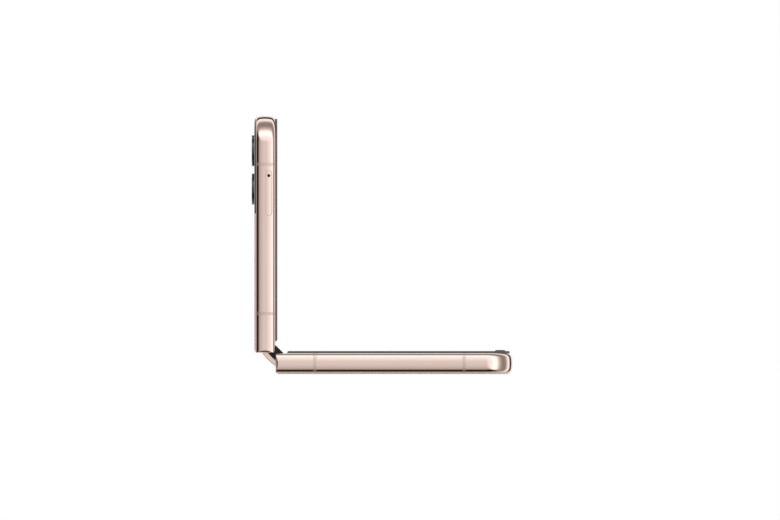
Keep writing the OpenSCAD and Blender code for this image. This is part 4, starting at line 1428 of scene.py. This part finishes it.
    def build(self) -> None:
        """Make and dress the camera group."""
        glass = RimShape(self.seat).copy("cover_glass", "cover_glass_plate")
        finish_piece(glass, "upper", "black_glass", "cover_glass")
        both, half = self.centres, self.base_side / 2
        for centre, node in zip(both, ("camera_ring_outer", "camera_ring_inner")):
            self.turned(
                f"{node}_turned", [centre], self.ring_section(), 32, "dark_metal", node, steps=128
            )
        bases = [
            tube([
                [(s + a * half, y + b * half, n) for a, b in SQUARE]
                for n in (self.base_top, self.base_bottom)
            ])
            for s, y in both
        ]
        self.turned(
            "camera_modules", both, self.barrel_section(), 30, "black_plastic", "cameras",
            more=bases,
        )
        self.turned(
            "front_elements", both, self.element_section(), 40, "lens_coating", steps=64,
            record_slot="black_glass",
        )
        self.turned(
            "lens_covers", both, self.glass_section(), 30, "lens_cover", "lens_glasses",
            record_slot="black_glass",
        )
        (s0, y), (s1, _) = both
        self.turned(
            "flash_window_lens", [((s0 + s1) / 2, y - self.flash_side)], self.flash_section(), 25,
            "flash_window", "flash_lens", steps=64,
        )


@dataclass
class Keys:
    """Card tray, volume rocker and power key in the upper half's rails."""

    seat: Seat
    height: float = 3.7
    width: float = 2.3
    gap: float = 0.1
    rocker_s: float = 54.0
    rocker_length: float = 20.0
    rocker_rib: float = 0.3
    rocker_rib_share: float = 0.9
    power_s: float = 33.0
    power_length: float = 14.0
    power_dish: float = 0.06
    hollow: tuple[Pair, ...] = ((0.12, 0.4), (0.3, 1.0))
    edge: float = 0.22
    tray_from_end: float = 27.1
    tray_height: float = 5.05
    tray_length: float = 15.7
    tray_width: float = 2.15
    tray_gap: float = 0.06
    eject_from_tip: float = 1.65
    eject_hole: float = 1.1
    gasket_depth: float = 0.12
    gasket_back: float = 0.8
    lining_gap: float = 0.01
    lining: tuple[Pair, ...] = ((1.3, 1.0), (0.22, 1.0), (0.22, 0.8), (0.7, 0.75), (0.75, 0.3))

    def cap(self, s: float, length: float, base: float, top: float, dish: float) -> Skin:
        """Key with rounded edges on the +y side.

        Args:
            s: Its middle along the half.
            length: Its length.
            base: Where it begins, across the phone.
            top: Where it ends, across the phone.
            dish: How deep its face is hollowed.

        Returns:
            Points and faces.
        """
        edge = arc((self.edge, top - self.edge), self.edge, 180, 90, steps=6)
        hollow = [(self.edge + a, top - dish * share) for a, share in self.hollow]
        rings = []
        for inset, y in [(0.0, base)] + edge + hollow:
            less = 2 * (self.gap + inset)
            outline = stadium(length - less, self.width - less, steps=14)
            rings.append([(s + a, y, self.height + b) for a, b in outline])
        return tube(rings)

    def tray_trim(self) -> None:
        """Line the tray's seam and its eject hole."""
        rim = self.seat.rim
        face, s0 = -rim.width / 2, rim.length - self.tray_from_end
        front, back, narrow = self.gasket_depth, self.gasket_back, 2 * self.tray_gap
        rings = []
        for depth, less in ((front, 0.0), (back, 0.0), (back, narrow), (front, narrow)):
            outline = stadium(self.tray_length - less, self.tray_width - less, steps=14)
            rings.append([(s0 + a, face + depth, self.tray_height + b) for a, b in outline])
        gasket = new_piece("tray_gasket", tube(rings, closed=True), self.seat, smooth=50)
        finish_piece(gasket, "card_tray", "rubber")
        hole_s = s0 + self.tray_length / 2 - self.eject_from_tip
        circle = arc((0, 0), self.eject_hole / 2 - self.lining_gap, 0, 345, steps=23)
        rings = [
            [(hole_s + a * share, face + depth, self.tray_height + b * share) for a, b in circle]
            for depth, share in self.lining
        ]
        lining = new_piece("eject_hole_lining", tube(rings), self.seat, smooth=50)
        finish_piece(lining, "card_tray", "black_plastic")

    def rib(self, base: float) -> Skin:
        """Half-round rib under the volume rocker's middle, on which it tips.

        Args:
            base: Where the cap begins, across the phone.

        Returns:
            Points and faces.
        """
        reach = self.rocker_rib_share * self.width / 2
        section = arc((self.rocker_s, base), self.rocker_rib, 180, 360, steps=12)
        return tube([[(s, y, self.height + n) for s, y in section] for n in (-reach, reach)])

    def build(self) -> None:
        """Make and dress the three pieces and the tray's trim."""
        self.tray_trim()
        tray = RimShape(self.seat).copy("sim_tray", "card_tray_slide")
        finish_piece(tray, "card_tray", "anodised_gold", "sim_tray")
        rocker = ("volume_key_cap", "volume_rocker", self.rocker_s, self.rocker_length, 0.0)
        power = ("power_key_cap", "power_key", self.power_s, self.power_length, self.power_dish)
        for name, node, s, length, dish in (rocker, power):
            low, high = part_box(node)
            rib = self.rocker_rib if node == "volume_rocker" else 0.0
            base = low.y / MM + rib
            skins = [self.cap(s, length, base, high.y / MM, dish)]
            if rib:
                skins.append(self.rib(base))
            piece = new_piece(name, joined(*skins), self.seat, smooth=40)
            finish_piece(piece, node, "anodised_gold", node)


# Away from both screens, at rest.
OUTWARD = Vector((-1.0, 0.0, -1.0)).normalized()


@dataclass
class Hinge:
    """Spine cover, end caps and the folding part of the screen."""

    axis_gap: float = 3.6
    axis_depth: float = 0.9
    screen: float = 0.55
    crown: float = 20.0
    spine_depth: float = 4.1
    stiff_from_axis: float = 2.4
    screen_half_width: float = 32.55
    turn: float = 45.0
    steps: int = 28
    rows: tuple[float, ...] = (-1.0, -0.5, 0.0, 0.5, 1.0)
    end_round: float = 1.1
    end_merge: float = 1.1 / 8
    end_steps: int = 6
    inner_share: float = 0.25
    outer_from: float = 0.3
    flat_angle: float = 0.5

    def spine_point(self, x: float, z: float) -> Pair:
        """World x and z of a point in the spine's own frame.

        Args:
            x: Place across the spine, from its middle.
            z: Height over the two axes.

        Returns:
            The place in millimetres.
        """
        ax, az = joint_place("fold_lower")
        a = math.radians(self.turn)
        x -= self.axis_gap / 2
        return ax + x * math.cos(a) + z * math.sin(a), az - x * math.sin(a) + z * math.cos(a)

    def build(self) -> None:
        """Make and dress the hinge's visible pieces."""
        cover = merged_copy("spine_cover", "spine_shell")
        self.round_ends(cover)
        finish_piece(cover, "spine", "anodised_gold", "spine_cover")
        crown = self.spine_point(0.0, self.crown - self.spine_depth)
        shape = TurnedShape([joint_place("fold_lower"), joint_place("fold_upper"), crown])
        caps = shape.copy("end_caps", "spine_end_caps")
        finish_piece(caps, "spine", "black_plastic", "end_caps")
        self.fold(Half.LOWER)
        self.fold(Half.UPPER)

    def round_ends(self, cover: bpy.types.Object) -> None:
        """Round the contour of the cover's two end faces, most on its outer side.

        Args:
            cover: The merged copy of the spine's cover.
        """
        with opened(cover.data) as shape:
            bmesh.ops.dissolve_limit(
                shape, angle_limit=math.radians(self.flat_angle), verts=shape.verts,
                edges=shape.edges,
            )
            reach = max(abs(v.co.y) for v in shape.verts)
            ends = [v for v in shape.verts if reach - abs(v.co.y) < NEAR]
            bmesh.ops.remove_doubles(shape, verts=ends, dist=self.end_merge * MM)
            shape.normal_update()
            weight = shape.edges.layers.float.new("bevel_weight_edge")
            for edge in shape.edges:
                if all(reach - abs(v.co.y) < NEAR for v in edge.verts):
                    lean = OUTWARD.dot(sum((f.normal for f in edge.link_faces), Vector()))
                    edge[weight] = 1.0 if lean > self.outer_from else self.inner_share
        smooth_by_angle(cover, 25)
        rounding = cover.modifiers.new("rounding", "BEVEL")
        rounding.limit_method = "WEIGHT"
        rounding.width = self.end_round * MM
        rounding.segments = self.end_steps
        rounding.harden_normals = True
        settle(cover)

    def fold_section(self, depth: float) -> list[Pair]:
        """Points of the bent screen, from the stiff part to the middle of the fold.

        Args:
            depth: Height of the points above the turning axis, with the phone flat.

        Returns:
            Distance along the half and height over it, both from the axis, at rest.
        """
        a = math.radians(self.turn)
        end = -self.axis_gap / 2 * math.cos(a) + self.axis_depth * math.sin(a)
        points = []
        for k in range(self.steps + 1):
            t = k / self.steps
            bend = a * t * t * (3 - 2 * t)
            along = self.stiff_from_axis - t * (self.stiff_from_axis - end)
            x = (along - depth * math.sin(bend)) / math.cos(bend)
            points.append((along, -x * math.sin(bend) + depth * math.cos(bend)))
        return points

    def fold_point(self, half: Half, along: float, up: float, y: float = 0.0) -> tuple[float, ...]:
        """Point of the folding screen in the world, in millimetres.

        Args:
            half: The half that this side of the screen belongs to.
            along: Distance along the half from its axis.
            up: Height over the axis.
            y: Place across the phone.

        Returns:
            The point.
        """
        x, z = joint_place(f"fold_{half.value}")
        if half is Half.LOWER:
            return x + along, y, z + up
        return x + up, y, z + along

    def fold(self, half: Half) -> None:
        """Make one side of the folding screen, shaped as it bends across its joint at rest.

        Args:
            half: The half on this side.
        """
        top = self.fold_section(self.axis_depth)
        outline = top + self.fold_section(self.axis_depth - self.screen)[::-1]
        rings = [
            [self.fold_point(half, *spot, self.screen_half_width * row) for spot in outline]
            for row in self.rows
        ]
        piece = new_piece(f"folding_screen_{half.value}", tube(rings), smooth=40)
        piece.data.materials.append(Palette.get("black_glass"))
        if half is Half.LOWER:
            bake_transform(piece)
        else:
            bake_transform(piece)
        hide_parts("display_fold")
        log.info("%s bends over its joint", piece.name)


def dress_nodes() -> None:
    """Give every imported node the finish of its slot."""
    for part in frame["record"]["subparts"]:
        solid = frame["nodes"][part["node"]]
        if not solid.material_slots:
            solid.data.materials.append(None)
        for slot in solid.material_slots:
            slot.material = Palette.get(part["material_slot"])


# ---- studio

class SkyLight:
    """Soft light round the phone, by how far a direction leans towards the camera.

    One row of stops holds for directions to the right and above, and one for those
    to the left and below. They run into each other between the two.
    """

    above: tuple[Pair, ...] = (
        (-1.0, 0.95), (-0.84, 0.95), (-0.76, 0.03), (-0.60, 0.03), (-0.50, 1.2), (-0.35, 1.0),
        (-0.2, 0.55), (-0.1, 0.32), (0.1, 0.27), (0.3, 0.34), (0.5, 0.70), (0.65, 1.32),
        (0.80, 1.36), (0.90, 1.08), (0.957, 1.02), (0.98, 0.91), (1.0, 0.74),
    )
    below: tuple[Pair, ...] = (
        (-1.0, 0.90), (-0.6, 0.74), (-0.3, 0.62), (-0.05, 0.52), (0.1, 0.36), (0.28, 0.08),
        (0.38, 0.01), (0.68, 0.01), (0.78, 0.08), (0.88, 0.33), (0.957, 0.56), (0.985, 0.65),
        (1.0, 0.74),
    )
    reach: float = 0.22
    warmth: Colour = (0.0, 0.12, 0.2)
    gain: float = 2.0

    @classmethod
    def colour(cls, strength: float) -> Colour:
        """Colour of the light at a strength, warmer where it is dim."""
        dim = max(0.0, 1.0 - strength)
        return tuple(strength * (1.0 - loss * dim) for loss in cls.warmth)


@dataclass
class Studio:
    """Camera, surroundings and floor."""

    lens: float = 1100.0
    sensor: float = 36.0
    view_width: float = 271.1
    middle_x: float = -1.46
    middle_z: float = 39.66
    near_side: float = -35.95
    eye_x: float = -41.2
    eye_z: float = 7.4
    reach: float = 100.0
    floor_side: float = 12.0
    floor_drop: float = 0.00002
    floor_cells: float = 2.0
    floor_tone: Pair = (0.84, 0.86)
    floor_glow: float = 1.13
    floor_glow_share: float = 0.8

    def camera(self) -> None:
        """Stand a long lens beside the phone, level with both screens' surfaces."""
        data = bpy.data.cameras.new("side_view")
        data.lens = self.lens
        data.sensor_width = self.sensor
        data.clip_end = self.reach
        camera = linked("side_view", data)
        distance = self.view_width * self.lens / self.sensor
        eye = Vector((self.eye_x, self.near_side - distance, self.eye_z)) * MM
        aim = Vector((self.middle_x, self.near_side, self.middle_z)) * MM - eye
        camera.location = eye
        camera.rotation_euler = aim.to_track_quat("-Z", "Y").to_euler()
        bpy.context.scene.camera = camera

    def ramp(self, nodes: Nodes, value: Socket, stops: Sequence[Pair]) -> Socket:
        """Ramp of light with stops at places from -1 to 1.

        Args:
            nodes: The world's nodes.
            value: The place on the ramp.
            stops: Pairs of a place and a strength, in rising order of place.

        Returns:
            The light's colour, divided by the sky's gain.
        """
        place = nodes.math("MULTIPLY_ADD", value, 0.5)
        place.node.inputs[2].default_value = 0.5
        ramp = nodes.add("ShaderNodeValToRGB", {0: place})
        elements = ramp.color_ramp.elements
        while len(elements) < len(stops):
            elements.new(1.0)
        for spot, (at, strength) in zip(elements, stops):
            spot.position = (at + 1) / 2
            spot.color = tuple(c / SkyLight.gain for c in SkyLight.colour(strength)) + (1.0,)
        return ramp.outputs[0]

    def world(self) -> None:
        """Surround the phone with soft boxes, seen white by the camera."""
        world = bpy.data.worlds.new("studio")
        world.use_nodes = True
        nodes = Nodes(world.node_tree)
        world.node_tree.nodes.clear()
        way = nodes.add("ShaderNodeTexCoord").outputs["Generated"]
        parts = nodes.add("ShaderNodeSeparateXYZ", {0: way})
        front = nodes.math("MULTIPLY", parts.outputs[1], -1.0)
        rising = nodes.math("ADD", parts.outputs[0], parts.outputs[2])
        bright = self.ramp(nodes, front, SkyLight.above)
        dark = self.ramp(nodes, front, SkyLight.below)
        side = nodes.add(
            "ShaderNodeMapRange", {0: rising, 1: -SkyLight.reach, 2: SkyLight.reach},
            interpolation_type="SMOOTHSTEP",
        )
        mix = nodes.add("ShaderNodeMix", {0: side.outputs[0], 6: dark, 7: bright}, data_type="RGBA")
        light = nodes.add("ShaderNodeBackground", {0: mix.outputs[2], 1: SkyLight.gain})
        white = nodes.add("ShaderNodeBackground", {0: (1.0, 1.0, 1.0, 1.0), 1: 1.0})
        path = nodes.add("ShaderNodeLightPath")
        through = path.outputs["Is Transmission Ray"]
        seen = nodes.math("MAXIMUM", path.outputs["Is Camera Ray"], through)
        out = nodes.add("ShaderNodeMixShader", {0: seen, 1: light.outputs[0], 2: white.outputs[0]})
        nodes.add("ShaderNodeOutputWorld", {0: out.outputs[0]})
        bpy.context.scene.world = world

    def floor(self) -> None:
        """Lay a pale floor that keeps a faint shadow and lets the metal see the studio."""
        half = self.floor_side / 2
        mesh = bpy.data.meshes.new("floor")
        mesh.from_pydata([(a * half, b * half, 0.0) for a, b in SQUARE], [], [(0, 1, 2, 3)])
        floor = linked("floor", mesh)
        floor.location.z = -self.floor_drop
        material = bpy.data.materials.new("Pale floor")
        material.use_nodes = True
        nodes = Nodes(material.node_tree)
        material.node_tree.nodes.clear()
        least, most = self.floor_tone
        cloud = effect(nodes, handling(), cells=self.floor_cells, least=least, most=most)
        tone = nodes.add("ShaderNodeCombineColor", {k: cloud for k in range(3)})
        matt = nodes.add("ShaderNodeBsdfDiffuse", {0: tone.outputs[0]})
        glow = nodes.add("ShaderNodeEmission", {0: (1.0, 1.0, 1.0, 1.0), 1: self.floor_glow})
        clear = nodes.add("ShaderNodeBsdfTransparent")
        path = nodes.add("ShaderNodeLightPath")
        seen = nodes.math("MULTIPLY", path.outputs["Is Camera Ray"], self.floor_glow_share)
        body = nodes.add("ShaderNodeMixShader", {0: seen, 1: matt.outputs[0], 2: glow.outputs[0]})
        under = nodes.add("ShaderNodeNewGeometry").outputs["Backfacing"]
        open_to = nodes.math("MAXIMUM", path.outputs["Is Glossy Ray"], under)
        shaders = {0: open_to, 1: body.outputs[0], 2: clear.outputs[0]}
        out = nodes.add("ShaderNodeMixShader", shaders)
        nodes.add("ShaderNodeOutputMaterial", {0: out.outputs[0]})
        mesh.materials.append(material)

    def build(self) -> None:
        """Set the whole studio up."""
        self.camera()
        self.world()
        self.floor()
        bpy.context.scene.view_settings.view_transform = "Standard"


def main() -> None:
    """Build the studio and the phone."""
    logging.basicConfig(level=logging.INFO, format="%(message)s")
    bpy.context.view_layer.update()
    Studio().build()
    dress_nodes()
    rim = Rim()
    lower, upper = Seat(Half.LOWER, rim), Seat(Half.UPPER, rim)
    for assembly in (
        HalfShell(lower), HalfShell(upper), Bumpers(lower), EarSlit(upper), PortEnd(lower),
        ChargingCoil(lower), Cameras(upper), Keys(upper), Hinge(),
    ):
        assembly.build()
        log.info("%s is done", type(assembly).__name__)


if __name__ == "__main__":
    main()
